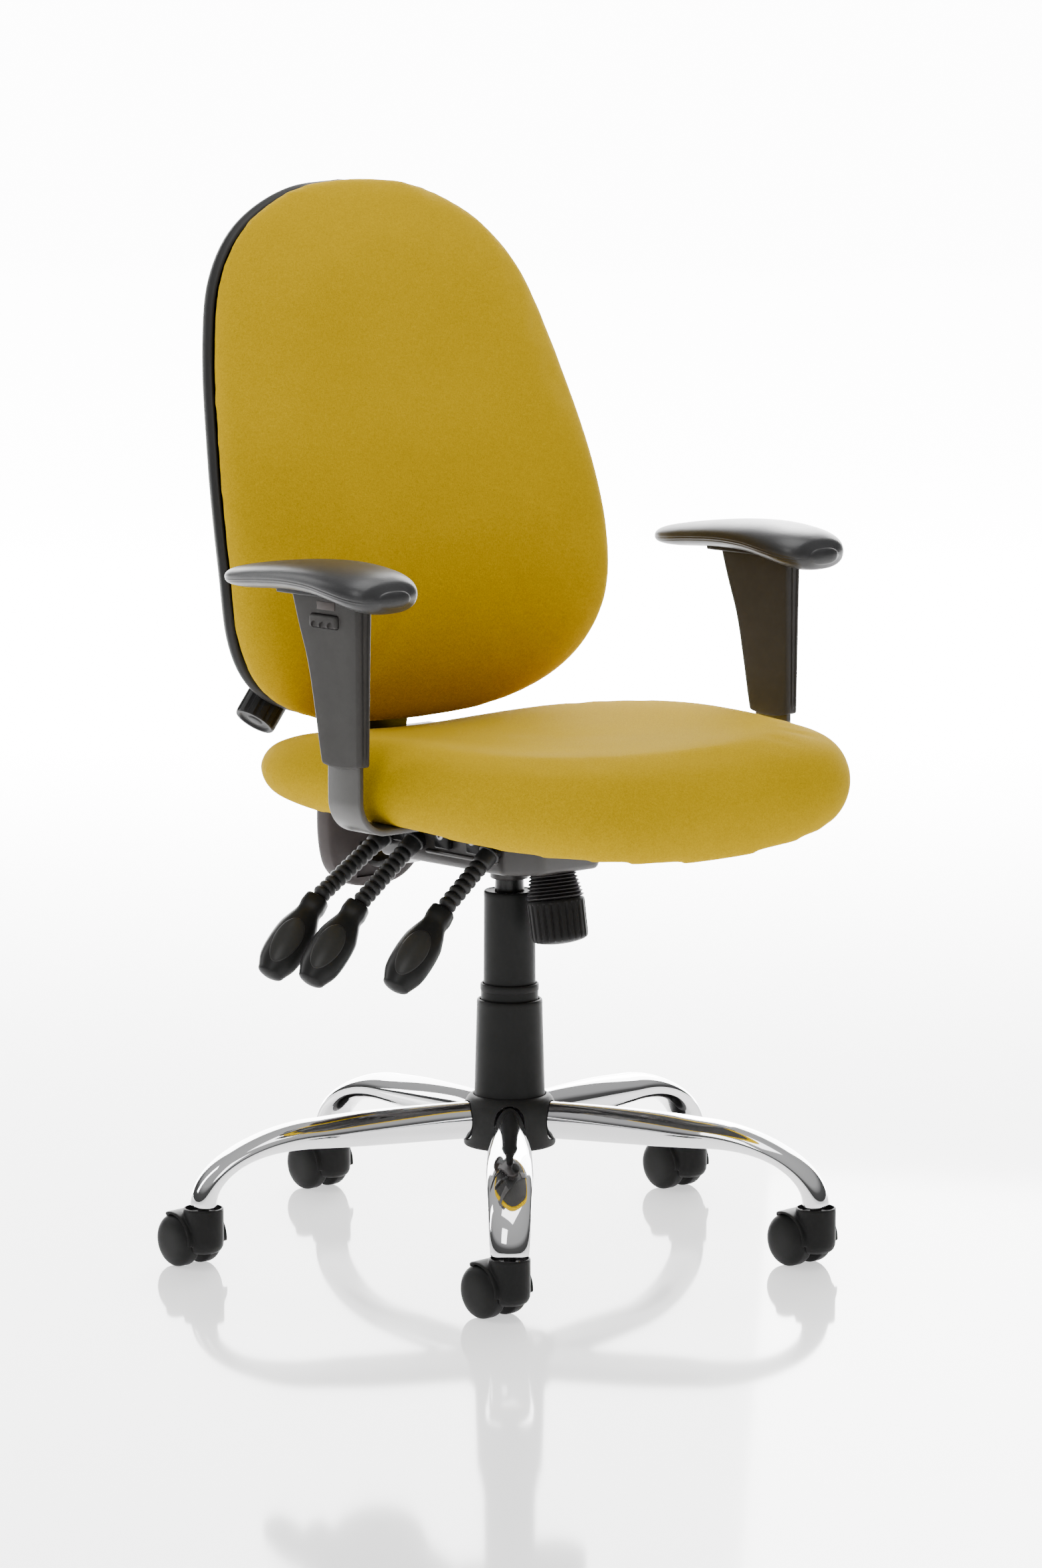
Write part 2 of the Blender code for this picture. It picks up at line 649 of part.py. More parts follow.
def lever_rod_mesh(name, finger):
    """Ribbed sleeve outside the housing, a stub into the handle, a steel rod through the wall and a finger."""
    ribs = 5
    y, length, _ = LEVERS[name]
    outer = [(0.0, 0.0), (0.0095, 0.0), (0.0095, 0.014)]
    start = 0.016
    for i in range(2 * ribs + 1):
        radius = 0.0070 if i % 2 == 0 else 0.0090
        outer.append((radius, start + (length - start) * i / (2 * ribs)))
    outer += [(0.0, length)]
    sleeve = moved(turned(outer, 10), lever_frame(name))
    stub = turned(((0.0, -0.006), (0.0045, -0.006), (0.0045, 0.021), (0.0, 0.021)), 8)
    stub = moved(stub, handle_frame(name))
    inner = [(LEVER_X - 0.004, y, LEVER_Z), *finger]
    rod = tube_along(inner, [0.0045] + [0.0030] * (len(inner) - 1), 8)
    return joined(sleeve, stub, rod)


def handle_section(u):
    """Half thickness above and below the handle's axis, and half width, at a fraction u of its length."""
    above = along(((0.0, 0.0085), (0.20, 0.0100), (0.5, 0.0135), (0.8, 0.0125), (1.0, 0.0070)), u)
    below = along(
        ((0.0, 0.0085), (0.15, 0.0100), (0.30, 0.0085), (0.48, 0.0140), (0.75, 0.0110), (1.0, 0.0070)), u
    )
    half_width = along(
        ((0.0, 0.0095), (0.22, 0.0110), (0.45, 0.0165), (0.68, 0.0185), (0.88, 0.0150), (1.0, 0.0085)), u
    )
    return above, below, half_width


def handle_mesh(name):
    """Egg-shaped paddle with a blind bore for the rod, a flat thumb face on top and a finger stop below."""
    count = 12
    rings = [[(0.0, 0.0, 0.0225)]]
    bore = [(0.0052 * math.cos(2 * math.pi * k / count), 0.0052 * math.sin(2 * math.pi * k / count))
            for k in range(count)]
    rings += [[(x, w, z) for x, w in bore] for z in (0.0225, HANDLE_START)]
    for u in (0.0, 0.14, 0.28, 0.42, 0.56, 0.72, 0.88, 1.0):
        above, below, half_width = handle_section(u)
        ring = []
        for k in range(count):
            angle = 2 * math.pi * k / count
            rise = above if math.cos(angle) > 0 else below
            out = HANDLE_START + HANDLE_LENGTH * u
            ring.append((rise * math.cos(angle), half_width * math.sin(angle), out))
        rings.append(ring)
    rings.append([(0.0, 0.0, HANDLE_START + HANDLE_LENGTH + 0.0030)])
    return moved(lofted(rings), handle_frame(name))


def build_levers(mechanism, looks):
    height_y = LEVERS["height"][0]
    fingers = {
        "height": [(-0.040, height_y, 0.4015), (-0.0040, -0.0100, 0.3995), (-0.0010, 0.0030, 0.3995)],
        "tilt": [(LEVER_X + 0.028, LEVERS["tilt"][0], LEVER_Z)],
        "back": [(LEVER_X + 0.028, LEVERS["back"][0], LEVER_Z)],
    }
    for name, (y, _, _) in LEVERS.items():
        axis = pivot(f"{name}_lever_axis", (LEVER_X, y, LEVER_Z), mechanism)
        node(f"{name}_lever", lever_rod_mesh(name, fingers[name]), looks["rubber"], axis)
        node(f"{name}_lever_handle", handle_mesh(name), looks["black"], axis)


# ---------------------------------------------------------------- seat
def seat_outline(angle, scale=1.0):
    """A rounded square, a little fuller than an ellipse, at an angle from +X."""
    power = 3.3
    cos, sin = math.cos(angle), math.sin(angle)
    reach = (abs(cos) ** power + abs(sin) ** power) ** (-1 / power)
    return SEAT_HALF_WIDTH * reach * cos * scale, SEAT_CENTRE_Y + SEAT_HALF_DEPTH * reach * sin * scale


def seat_ring(scale, height, front_drop, count=28, sag=0.0):
    """A ring of the seat whose front part sits lower by front_drop, and whose rear sags below its sides."""
    ring = []
    for k in range(count):
        angle = 2 * math.pi * k / count
        x, y = seat_outline(angle, scale)
        front = max(0.0, -math.sin(angle)) ** 2
        rear = max(0.0, math.sin(angle)) ** 2
        ring.append((x, y, height - front_drop * front - sag * rear))
    return ring


def seat_cushion_mesh():
    recess = 0.855
    rings = [
        [(0.0, SEAT_CENTRE_Y, 0.4615)],
        seat_ring(recess, 0.4615, 0.0),
        seat_ring(recess, SEAT_UNDERSIDE, 0.0),
        seat_ring(0.92, SEAT_UNDERSIDE - 0.001, 0.034),
        seat_ring(0.972, 0.4590, 0.031),
        seat_ring(1.0, 0.4760, 0.021),
        seat_ring(0.975, 0.4960, 0.012, sag=0.010),
        seat_ring(0.91, 0.5100, 0.008, sag=0.019),
        seat_ring(0.78, 0.5150, 0.005, sag=0.020),
        seat_ring(0.45, 0.5070, 0.0, sag=0.008),
        [(0.0, SEAT_CENTRE_Y, 0.5020)],
    ]
    return lofted(rings)


def seat_board_mesh():
    scale = 0.84
    return lofted([seat_ring(scale, z, 0.0, 24) for z in (SEAT_PLATE_Z + 0.0039, 0.4608)])


# ---------------------------------------------------------------- back
def back_outline(count=26):
    """Points of the back's outline, evenly spaced by length, anticlockwise from the top as seen from -Y."""
    half = [Vector(point) for point in BACK_OUTLINE]
    spots = [(i, point.x) for i, point in enumerate(half)], [(i, point.y) for i, point in enumerate(half)]
    fine = [Vector((along(spots[0], i / 8), along(spots[1], i / 8))) for i in range(8 * (len(half) - 1) + 1)]
    lengths = [0.0]
    for a, b in zip(fine, fine[1:]):
        lengths.append(lengths[-1] + (b - a).length)
    side = []
    for k in range(count // 2 + 1):
        want = lengths[-1] * k / (count // 2)
        i = min(max(n for n, length in enumerate(lengths) if length <= want + 1e-9), len(fine) - 2)
        u = (want - lengths[i]) / (lengths[i + 1] - lengths[i])
        side.append(fine[i].lerp(fine[i + 1], u))
    return side + [Vector((-point.x, point.y)) for point in side[-2:0:-1]]


def back_ring(outline, scale, offset):
    """A ring scaled about the back's centre, offset in Y from its leaning middle surface."""
    ring = []
    for point in outline:
        x = point.x * scale
        z = BACK_CENTRE_Z + (point.y - BACK_CENTRE_Z) * scale
        ring.append((x, along(BACK_CURVE, z) + offset, z))
    return ring


def back_cushion_mesh():
    outline = back_outline()
    centre = along(BACK_CURVE, BACK_CENTRE_Z)
    rings = [[(0.0, centre + 0.0160, BACK_CENTRE_Z)]]
    for scale, offset in ((0.55, 0.0160), (0.945, 0.0155), (0.980, 0.0110), (1.0, -0.0010),
                          (0.985, -0.014), (0.94, -0.026), (0.84, -0.034), (0.68, -0.037), (0.40, -0.038)):
        rings.append(back_ring(outline, scale, offset))
    rings.append([(0.0, centre - 0.038, BACK_CENTRE_Z)])
    return lofted(rings)


def back_shell_mesh():
    """Thin domed shell behind the cushion, open in front, with a slot below for the back bar."""
    outline = back_outline()
    centre = along(BACK_CURVE, BACK_CENTRE_Z)
    wall = 0.003
    dome = ((0.980, 0.0168), (0.992, 0.0235), (0.974, 0.0320), (0.915, 0.0410), (0.77, 0.0500),
            (0.45, 0.0565))
    rings = [[(0.0, centre + 0.058, BACK_CENTRE_Z)]]
    rings += [back_ring(outline, scale, offset) for scale, offset in dome[::-1]]
    rings.append(back_ring(outline, dome[0][0] - 0.014, dome[0][1]))
    rings += [back_ring(outline, scale - 0.014, offset - wall) for scale, offset in dome[2:]]
    rings.append([(0.0, centre + 0.058 - wall, BACK_CENTRE_Z)])
    shell = lofted(rings)
    slot = block((BAR_WIDTH + 0.008, 0.030, 0.06), (0, 0.1815, 0.505))
    away = knob_frame()
    notch = turned(
        ((0.0, -0.030), (0.0052, -0.030), (0.0052, -0.0012), (0.0218, -0.0012), (0.0218, 0.05),
         (0.0, 0.05)),
        20,
    )
    return cut(shell, slot, moved(notch, away))


def bar_path():
    return rounded_path((RECLINE_PIN[1:], BAR_BEND, BAR_TOP), 0.028, 6)


def back_bar_mesh():
    """Bent flat bar from the recline pin up into the shell, with an eye round the pin."""
    bar = flat_bar(bar_path(), BAR_THICK, BAR_WIDTH)
    across = Matrix.Rotation(math.pi / 2, 4, "Y")
    half = BAR_WIDTH / 2
    eye = turned(((0.0, -half), (0.0090, -half), (0.0090, half), (0.0, half)), 14)
    bore = turned(((0.0, -0.05), (0.0044, -0.05), (0.0044, 0.05), (0.0, 0.05)), 10)
    return cut(joined(bar, moved(eye, at(*RECLINE_PIN) @ across)), moved(bore, at(*RECLINE_PIN) @ across))


def spine_cover_mesh():
    """Black cover round the bar's bend: a rounded slab that narrows downwards, with a channel for the bar."""
    lean = math.atan2(BAR_BEND[0] - BAR_TOP[0], BAR_TOP[1] - BAR_BEND[1])
    outline = [(0.0, 0.333), (0.030, 0.338), (0.050, 0.352), (0.061, 0.373), (0.068, 0.407), (0.070, 0.450),
               (0.070, 0.484), (0.066, 0.490)]
    outline += [(-x, z) for x, z in outline[:0:-1]]
    rings = []
    for inset, depth in ((0.90, -0.0068), (1.0, -0.0045), (1.0, 0.0110), (0.90, 0.0170)):
        ring = []
        for x, z in outline:
            height = 0.42 + (z - 0.42) * (0.97 if inset < 1 else 1.0)
            y = BAR_BEND[0] - (height - BAR_BEND[1]) * math.tan(lean) + depth
            ring.append((x * inset, y, height))
        rings.append(ring)
    slab = lofted(rings)
    channel = flat_bar(bar_path(), BAR_THICK + 0.0016, BAR_WIDTH + 0.0016)
    mouth = block((BAR_WIDTH + 0.0016, 0.030, 0.034), (0, BAR_BEND[0] - 0.018, BAR_BEND[1] + 0.0140))
    return cut(slab, channel, mouth)


def knob_frame():
    """Local +Z points out of the lumbar knob, down towards -X."""
    return at(*LUMBAR_KNOB) @ Matrix.Rotation(-math.pi / 2 - LUMBAR_KNOB_ANGLE, 4, "Y")


def lumbar_knob_mesh():
    knob = fluted(0.0205, 0.0012, 12, 0.0, 0.0290, 0.0, 0.003, 0.006)
    shaft = turned(((0.0, -0.014), (0.0045, -0.014), (0.0045, 0.012), (0.0, 0.012)), 12)
    return moved(joined(knob, shaft), knob_frame())


# ---------------------------------------------------------------- arms
def arm_bracket_mesh(side):
    inner_x, z = 0.104, SEAT_PLATE_Z + 0.0002
    path = rounded_path(((inner_x, z), (ARM_X, z), (ARM_X, 0.615)), 0.030, 5)
    bar = flat_bar(path, ARM_BAR, ARM_BAR_WIDTH)
    if side < 0:
        return moved(bar, at(0, ARM_Y, 0) @ turn(90, "Z"))
    return moved(bar, at(0, ARM_Y, 0) @ turn(-90, "Z"))


def arm_post_mesh(side):
    """Tapered sleeve with a bottom channel for the bracket and a side pocket for the button."""
    rings = []
    corner = 0.0055
    sections = (
        (POST_BOTTOM, -0.1066, -0.0527, 0.00725), (0.560, -0.1070, -0.0430, 0.0079),
        (0.600, -0.1072, -0.0345, 0.0084), (0.635, -0.1074, -0.0225, 0.0090),
        (POST_TOP, -0.1076, -0.0145, 0.0095),
    )
    for z, front, rear, half_thick in sections:
        outline = []
        for cx, cy, start in ((1, 1, 0), (-1, 1, 90), (-1, -1, 180), (1, -1, 270)):
            for step in (0, 45, 90):
                a = math.radians(start + step)
                edge_y = rear - corner if cy > 0 else front + corner
                outline.append((ARM_X + cx * (half_thick - corner) + corner * math.cos(a),
                                edge_y + corner * math.sin(a), z))
        rings.append(outline)
    post = lofted(rings)
    channel = block((ARM_BAR + 0.0012, ARM_BAR_WIDTH + 0.0012, 0.150), (ARM_X, ARM_Y, 0.6180 - 0.075))
    pocket = block((0.0100, 0.0392, 0.0132), (ARM_X + 0.0080, *BUTTON[1:]))
    post = cut(post, channel, pocket)
    return post if side > 0 else moved(post, Matrix.Scale(-1, 4, (1, 0, 0)))


def arm_button_mesh(side):
    button = block((0.0060, 0.0380, 0.0120), (ARM_X + BUTTON[0], *BUTTON[1:]), 0.0018)
    return button if side > 0 else moved(button, Matrix.Scale(-1, 4, (1, 0, 0)))


def arm_pad_mesh(side):
    """Arched pad, thin at the rear and full at its drooping front, with a flat mounting plate below."""
    stations = (
        (0.0690, 0.6690, 0.0050, 0.0150), (0.0630, 0.6697, 0.0085, 0.0235), (0.0430, 0.6715, 0.0110, 0.0300),
        (0.0080, 0.6750, 0.0125, 0.0350), (-0.0350, 0.6780, 0.0138, 0.0400), (-0.0750, 0.6775, 0.0155, 0.0435),
        (-0.1050, 0.6735, 0.0172, 0.0445), (-0.1280, 0.6690, 0.0178, 0.0410), (-0.1420, 0.6660, 0.0145, 0.0320),
        (-0.1475, 0.6645, 0.0080, 0.0190),
    )
    count = 14
    rings = []
    for y, z, half_height, half_width in stations:
        ring = []
        for k in range(count):
            angle = 2 * math.pi * (k + 0.5) / count
            cos, sin = math.cos(angle), math.sin(angle)
            x = half_width * math.copysign(abs(cos) ** 0.8, cos)
            ring.append((side * ARM_X + x, y, z + half_height * math.copysign(abs(sin) ** 0.9, sin)))
        rings.append(ring)
    pad = lofted(rings)
    plate = block((0.042, 0.100, 0.0090), (side * ARM_X, -0.0560, POST_TOP + GAP + 0.0045))
    room = block((0.0220, 0.0980, 0.040), (side * ARM_X, -0.0605, POST_TOP + GAP - 0.020))
    return cut(joined(pad, plate), room)


def build_arms(seat, looks):
    for side, name in ((-1, "right"), (1, "left")):
        post_axis = pivot(f"{name}_arm_slide", (side * ARM_X, ARM_Y, POST_BOTTOM), seat)
        node(f"{name}_arm_bracket", arm_bracket_mesh(side), looks["bracket"], seat)
        node(f"{name}_arm_post", arm_post_mesh(side), looks["grey"], post_axis)
        node(f"{name}_arm_pad", arm_pad_mesh(side), looks["pad"], post_axis, 60)
        press = pivot(f"{name}_button_axis", (side * (ARM_X + BUTTON[0]), *BUTTON[1:]), post_axis)
        node(f"{name}_arm_button", arm_button_mesh(side), looks["grey"], press)


# ---------------------------------------------------------------- the chair
def build():
    clear_scene()
    looks = {
        "chrome": material("chrome", (0.80, 0.80, 0.82), 0.06, 1.0),
        "steel": material("steel", (0.35, 0.35, 0.36), 0.35, 1.0),
        "bracket": material("painted steel", (0.06, 0.058, 0.055), 0.35),
        "black": material("black plastic", (0.018, 0.018, 0.018), 0.45),
        "grey": material("dark grey plastic", (0.055, 0.052, 0.050), 0.50),
        "castor": material("castor plastic", (0.012, 0.012, 0.012), 0.60),
        "rubber": material("rubber", (0.012, 0.012, 0.012), 0.55),
        "pad": material("arm pad", (0.030, 0.030, 0.031), 0.40),
        "bush": material("acetal", (0.75, 0.74, 0.70), 0.45),
        "fabric": material("yellow fabric", (0.66, 0.41, 0.006), 0.95),
        "board": material("plywood", (0.50, 0.35, 0.20), 0.70),
    }
    chair = pivot("chair")
    build_base(chair, looks)
    piston = pivot("seat_swivel_axis", (0.0, 0.0, 0.1125), chair)
    lift = pivot("gas_lift_axis", (0.0, 0.0, 0.1750), piston)
    cover_slide = pivot("cover_slide_axis", (0.0, 0.0, 0.1850), chair)
    pin_slide = pivot("release_pin_axis", (0.0, 0.0, 0.3720), lift)
    build_lift(chair, piston, lift, cover_slide, pin_slide, looks)

    node("mech_housing", housing_mesh(), looks["bracket"], lift)
    node("seat_tilt_pin", cross_pin(TILT_PIN, HOUSING_HALF_WIDTH + 0.0075), looks["steel"], lift)
    node("recline_pin", cross_pin(RECLINE_PIN, HOUSING_HALF_WIDTH + 0.0030), looks["steel"], lift)
    slider = pivot("tension_slide_axis", TENSION_TOP, lift)
    knob_axis = pivot("tension_knob_axis", TENSION_TOP, slider)
    build_tension(lift, slider, knob_axis, looks)
    build_levers(lift, looks)

    seat = pivot("seat_tilt_axis", TILT_PIN, lift)
    node("seat_plate", seat_plate_mesh(), looks["bracket"], seat)
    node("seat_board", seat_board_mesh(), looks["board"], seat)
    node("seat_cushion", seat_cushion_mesh(), looks["fabric"], seat, 60)
    build_arms(seat, looks)

    recline = pivot("back_recline_axis", RECLINE_PIN, lift)
    node("back_bar", back_bar_mesh(), looks["steel"], recline)
    node("spine_cover", spine_cover_mesh(), looks["grey"], recline)
    back = pivot("back_height_axis", (0.0, *BAR_TOP), recline)
    node("back_cushion", back_cushion_mesh(), looks["fabric"], back, 60)
    node("back_shell", back_shell_mesh(), looks["black"], back, 60)
    knob = pivot("lumbar_knob_axis", LUMBAR_KNOB, back)
    node("lumbar_knob", lumbar_knob_mesh(), looks["black"], knob)

    chair.location = (*COLUMN, -FLOOR)


build()
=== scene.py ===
"""Looks for the office swivel chair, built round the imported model. Metres, +Z up, the chair faces -Y.

Shapes are written from the model's datum on the column's axis, just below the floor, and moved home at
the end, so they repeat the driving dimensions of the model. What moves starts from its joint's place.
"""

import json
import math

import bmesh
import bpy
from mathutils import Matrix, Vector


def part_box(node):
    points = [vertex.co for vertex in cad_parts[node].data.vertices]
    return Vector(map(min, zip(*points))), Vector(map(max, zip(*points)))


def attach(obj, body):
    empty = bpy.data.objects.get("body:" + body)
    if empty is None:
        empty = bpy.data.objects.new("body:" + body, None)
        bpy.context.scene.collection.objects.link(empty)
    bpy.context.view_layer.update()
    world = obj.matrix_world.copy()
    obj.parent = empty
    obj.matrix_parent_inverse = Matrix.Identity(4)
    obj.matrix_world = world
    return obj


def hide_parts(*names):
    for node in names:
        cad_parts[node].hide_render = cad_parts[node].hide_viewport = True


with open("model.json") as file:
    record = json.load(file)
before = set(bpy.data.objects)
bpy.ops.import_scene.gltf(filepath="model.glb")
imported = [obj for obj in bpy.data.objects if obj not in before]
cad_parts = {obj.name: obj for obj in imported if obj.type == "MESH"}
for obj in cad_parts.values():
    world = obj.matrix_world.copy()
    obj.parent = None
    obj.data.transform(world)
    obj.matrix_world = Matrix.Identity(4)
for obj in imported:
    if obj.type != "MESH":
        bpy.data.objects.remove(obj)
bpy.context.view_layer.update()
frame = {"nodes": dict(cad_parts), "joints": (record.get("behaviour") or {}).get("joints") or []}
joints = {joint["name"]: joint for joint in frame["joints"]}


def joint_place(name):
    return Vector(joints[name]["pos_m"])


def joint_axis(name):
    return Vector(joints[name]["axis"]).normalized()


# ---------------------------------------------------------------- driving dimensions
SWIVEL_Z = 0.1125
COLUMN = joint_place("seat_swivel") - Vector((0.0, 0.0, SWIVEL_Z))
HOME = Matrix.Translation(COLUMN)
TO_X = Matrix(((0, 0, 1, 0), (1, 0, 0, 0), (0, 1, 0, 0), (0, 0, 0, 1)))  # turns Z into X, X into Y
GAP = 0.0004

LEG_COUNT = 5
LEG_TIP_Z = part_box("leg_1")[0].z - COLUMN.z
LEG_HUB_Z = 0.1335
LEG_BEND_START = 0.190
FIRST_STEM = joint_place("castor_1_swivel") - COLUMN
STEM_RADIUS_FROM_AXIS = FIRST_STEM.xy.length
FIRST_LEG_DEG = math.degrees(math.atan2(FIRST_STEM.y, FIRST_STEM.x))
WHEEL_R = joint_place("castor_1_right_roll").z
TRAIL = joint_place("castor_1_right_roll").y - joint_place("castor_1_swivel").y
WHEEL_INNER_FACE = 0.0068
WHEEL_WIDTH = 0.0182

HOUSING_FLOOR = 0.380
HOUSING_TOP = 0.425
HOUSING_HALF_WIDTH = 0.062
HOUSING_FRONT = -0.086
HOUSING_REAR = 0.118
NOSE_HALF_WIDTH = 0.036
NOSE_REAR = -0.058
TENSION_DOWN = joint_axis("tension_slide")
BELLOWS_LENGTH = 0.0265
KNOB_R = 0.0275

LEVERS = {  # sleeve length, and the sleeve's angle below horizontal
    "height": (0.0720, math.radians(39.0)),
    "tilt": (0.0860, math.radians(37.5)),
    "back": (0.0950, math.radians(32.0)),
}
HANDLE_ANGLE = math.radians(47.5)  # below horizontal
HANDLE_ROLL = math.radians(35.0)  # the thumb face turns towards the chair's front
HANDLE_START = 0.0022
HANDLE_LENGTH = 0.0870

SEAT_CENTRE_Y = -0.0645
SEAT_HALF_WIDTH = 0.2450
SEAT_HALF_DEPTH = 0.237
SEAT_UNDERSIDE = 0.4525

ARM_X = 0.2708
ARM_Y = -0.0797
POST_BOTTOM = 0.505
POST_TOP = 0.661
BUTTON = (0.0095, -0.0620, 0.6385)  # out from the bracket's upright, along Y, height

BAR_BEND = (0.200, 0.3475)
BAR_TOP = (0.1580, 0.650)
RECLINE_PIN = joint_place("back_recline") - COLUMN

BACK_OUTLINE = (
    (0.000, 1.020), (0.060, 1.015), (0.113, 0.996), (0.153, 0.968), (0.183, 0.927), (0.201, 0.875),
    (0.2160, 0.808), (0.2275, 0.735), (0.2310, 0.665), (0.2240, 0.600), (0.195, 0.552), (0.146, 0.523),
    (0.078, 0.508), (0.000, 0.504),
)
BACK_CURVE = ((0.48, 0.155), (0.56, 0.132), (0.62, 0.1235), (0.68, 0.1290), (0.76, 0.1485), (0.84, 0.1735),
              (0.92, 0.1970), (1.06, 0.237))
BACK_CENTRE_Z = 0.755


# ---------------------------------------------------------------- materials
class Look:
    """A Principled material built node by node in the object's own coordinates."""

    def __init__(self, name, colour, roughness, metallic=0.0):
        self.material = bpy.data.materials.new(name)
        self.material.use_nodes = True
        self.nodes = self.material.node_tree.nodes
        self.links = self.material.node_tree.links
        self.shader = self.nodes["Principled BSDF"]
        self.colour = colour
        self.set("Base Color", (*colour, 1.0))
        self.set("Roughness", roughness)
        self.set("Metallic", metallic)
        self.place = self.nodes.new("ShaderNodeTexCoord").outputs["Object"]
        self.height = None

    def set(self, socket, value):
        self.shader.inputs[socket].default_value = value

    def noise(self, scale, detail=3.0, roughness=0.5):
        node = self.nodes.new("ShaderNodeTexNoise")
        node.inputs["Scale"].default_value = scale
        node.inputs["Detail"].default_value = detail
        node.inputs["Roughness"].default_value = roughness
        self.links.new(self.place, node.inputs["Vector"])
        return node.outputs["Fac"]

    def cells(self, scale, feature="F1", randomness=1.0):
        node = self.nodes.new("ShaderNodeTexVoronoi")
        node.feature = feature
        node.inputs["Scale"].default_value = scale
        node.inputs["Randomness"].default_value = randomness
        self.links.new(self.place, node.inputs["Vector"])
        return node.outputs["Distance"]

    def bands(self, scale, direction, distortion=0.0):
        node = self.nodes.new("ShaderNodeTexWave")
        node.bands_direction = direction
        node.inputs["Scale"].default_value = scale
        node.inputs["Distortion"].default_value = distortion
        node.inputs["Detail Scale"].default_value = 2.0
        self.links.new(self.place, node.inputs["Vector"])
        return node.outputs["Fac"]

    def mixed(self, a, b, operation="MULTIPLY"):
        node = self.nodes.new("ShaderNodeMath")
        node.operation = operation
        for socket, value in zip(node.inputs, (a, b)):
            if isinstance(value, (int, float)):
                socket.default_value = value
            else:
                self.links.new(value, socket)
        return node.outputs[0]

    def ramp(self, factor, stops):
        node = self.nodes.new("ShaderNodeValToRGB")
        elements = node.color_ramp.elements
        while len(elements) < len(stops):
            elements.new(0.5)
        for element, (position, colour) in zip(elements, stops):
            element.position = position
            element.color = (*colour, 1.0)
        self.links.new(factor, node.inputs["Fac"])
        return node.outputs["Color"]

    def vary_colour(self, factor, low, high, spread=(0.3, 0.7)):
        """The base colour times low to high, as factor goes across spread."""
        stops = [(spread[0], [c * low for c in self.colour]), (spread[1], [c * high for c in self.colour])]
        self.links.new(self.ramp(factor, stops), self.shader.inputs["Base Color"])

    def vary_roughness(self, factor, low, high):
        node = self.nodes.new("ShaderNodeMapRange")
        node.inputs["To Min"].default_value = low
        node.inputs["To Max"].default_value = high
        self.links.new(factor, node.inputs["Value"])
        self.links.new(node.outputs["Result"], self.shader.inputs["Roughness"])

    def bump(self, factor, strength, distance=0.001):
        node = self.nodes.new("ShaderNodeBump")
        node.inputs["Strength"].default_value = strength
        node.inputs["Distance"].default_value = distance
        self.links.new(factor, node.inputs["Height"])
        if self.height:
            self.links.new(self.height, node.inputs["Normal"])
        self.height = node.outputs["Normal"]
        self.links.new(self.height, self.shader.inputs["Normal"])


def moulded_plastic(name, colour, roughness, grain=1500.0, relief=0.10):
    """Injection-moulded plastic: fine spark grain, slightly cloudy gloss."""
    look = Look(name, colour, roughness)
    look.vary_roughness(look.noise(35.0, 4.0), roughness - 0.03, roughness + 0.04)
    look.vary_colour(look.noise(60.0, 3.0), 0.96, 1.05)
    look.bump(look.noise(grain, 2.0), relief, 0.0003)
    look.set("Specular IOR Level", 0.16)
    return look.material


def chrome():
    look = Look("chrome", (0.86, 0.86, 0.87), 0.045, 1.0)
    look.vary_roughness(look.noise(28.0, 5.0), 0.030, 0.075)
    return look.material


def painted_steel(name, colour, roughness):
    """Powder coat: low orange peel over satin paint."""
    look = Look(name, colour, roughness)
    look.vary_roughness(look.noise(22.0, 4.0), roughness - 0.05, roughness + 0.09)
    look.vary_colour(look.noise(14.0, 3.0), 0.90, 1.12)
    look.bump(look.noise(420.0, 2.0), 0.16, 0.0004)
    look.set("Coat Weight", 0.15)
    look.set("Coat Roughness", 0.25)
    return look.material


def bare_steel(name, colour, roughness):
    look = Look(name, colour, roughness, 1.0)
    look.vary_roughness(look.noise(300.0, 4.0), roughness - 0.08, roughness + 0.12)
    look.bump(look.noise(900.0, 2.0), 0.08, 0.0002)
    return look.material


def rubber(name, colour):
    look = Look(name, colour, 0.50)
    look.vary_roughness(look.noise(90.0, 3.0), 0.40, 0.62)
    look.bump(look.noise(1300.0, 2.0), 0.10, 0.0003)
    return look.material


def skinned_foam():
    """Self-skinning polyurethane: soft satin with a fine leather grain."""
    look = Look("arm pad skin", (0.020, 0.020, 0.021), 0.36)
    look.vary_roughness(look.noise(30.0, 4.0), 0.31, 0.46)
    look.bump(look.cells(520.0), 0.14, 0.0003)
    look.bump(look.noise(1600.0, 2.0), 0.08, 0.0002)
    return look.material


def upholstery():
    """Golden crepe weave: mottled yarn, fine crossed threads, a soft nap."""
    look = Look("yellow upholstery", (0.47, 0.296, 0.0), 0.90)
    grain = look.mixed(look.noise(620.0, 3.0, 0.65), look.noise(1500.0, 2.0), "ADD")
    patches = look.mixed(look.noise(7.0, 3.0), 0.16)
    shade = look.mixed(look.mixed(grain, 0.5), patches, "ADD")
    stops = ((0.40, (0.36, 0.225, 0.0)), (0.58, (0.47, 0.296, 0.0)), (0.78, (0.58, 0.380, 0.0)))
    look.links.new(look.ramp(shade, stops), look.shader.inputs["Base Color"])
    threads = look.mixed(look.bands(260.0, "X", 3.0), look.bands(260.0, "Z", 3.0), "ADD")
    look.bump(threads, 0.10, 0.0004)
    look.bump(look.cells(780.0), 0.28, 0.0005)
    look.set("Sheen Weight", 0.04)
    look.set("Sheen Roughness", 0.45)
    look.set("Sheen Tint", (1.0, 0.72, 0.02, 1.0))
    look.set("Specular IOR Level", 0.03)
    return look.material


def stained_board():
    """Black-stained plywood: the grain shows only as a faint relief."""
    look = Look("stained seat board", (0.012, 0.011, 0.010), 0.62)
    rings = look.bands(14.0, "X", 9.0)
    look.vary_colour(rings, 0.75, 1.1, (0.2, 0.9))
    look.bump(rings, 0.15, 0.0004)
    return look.material


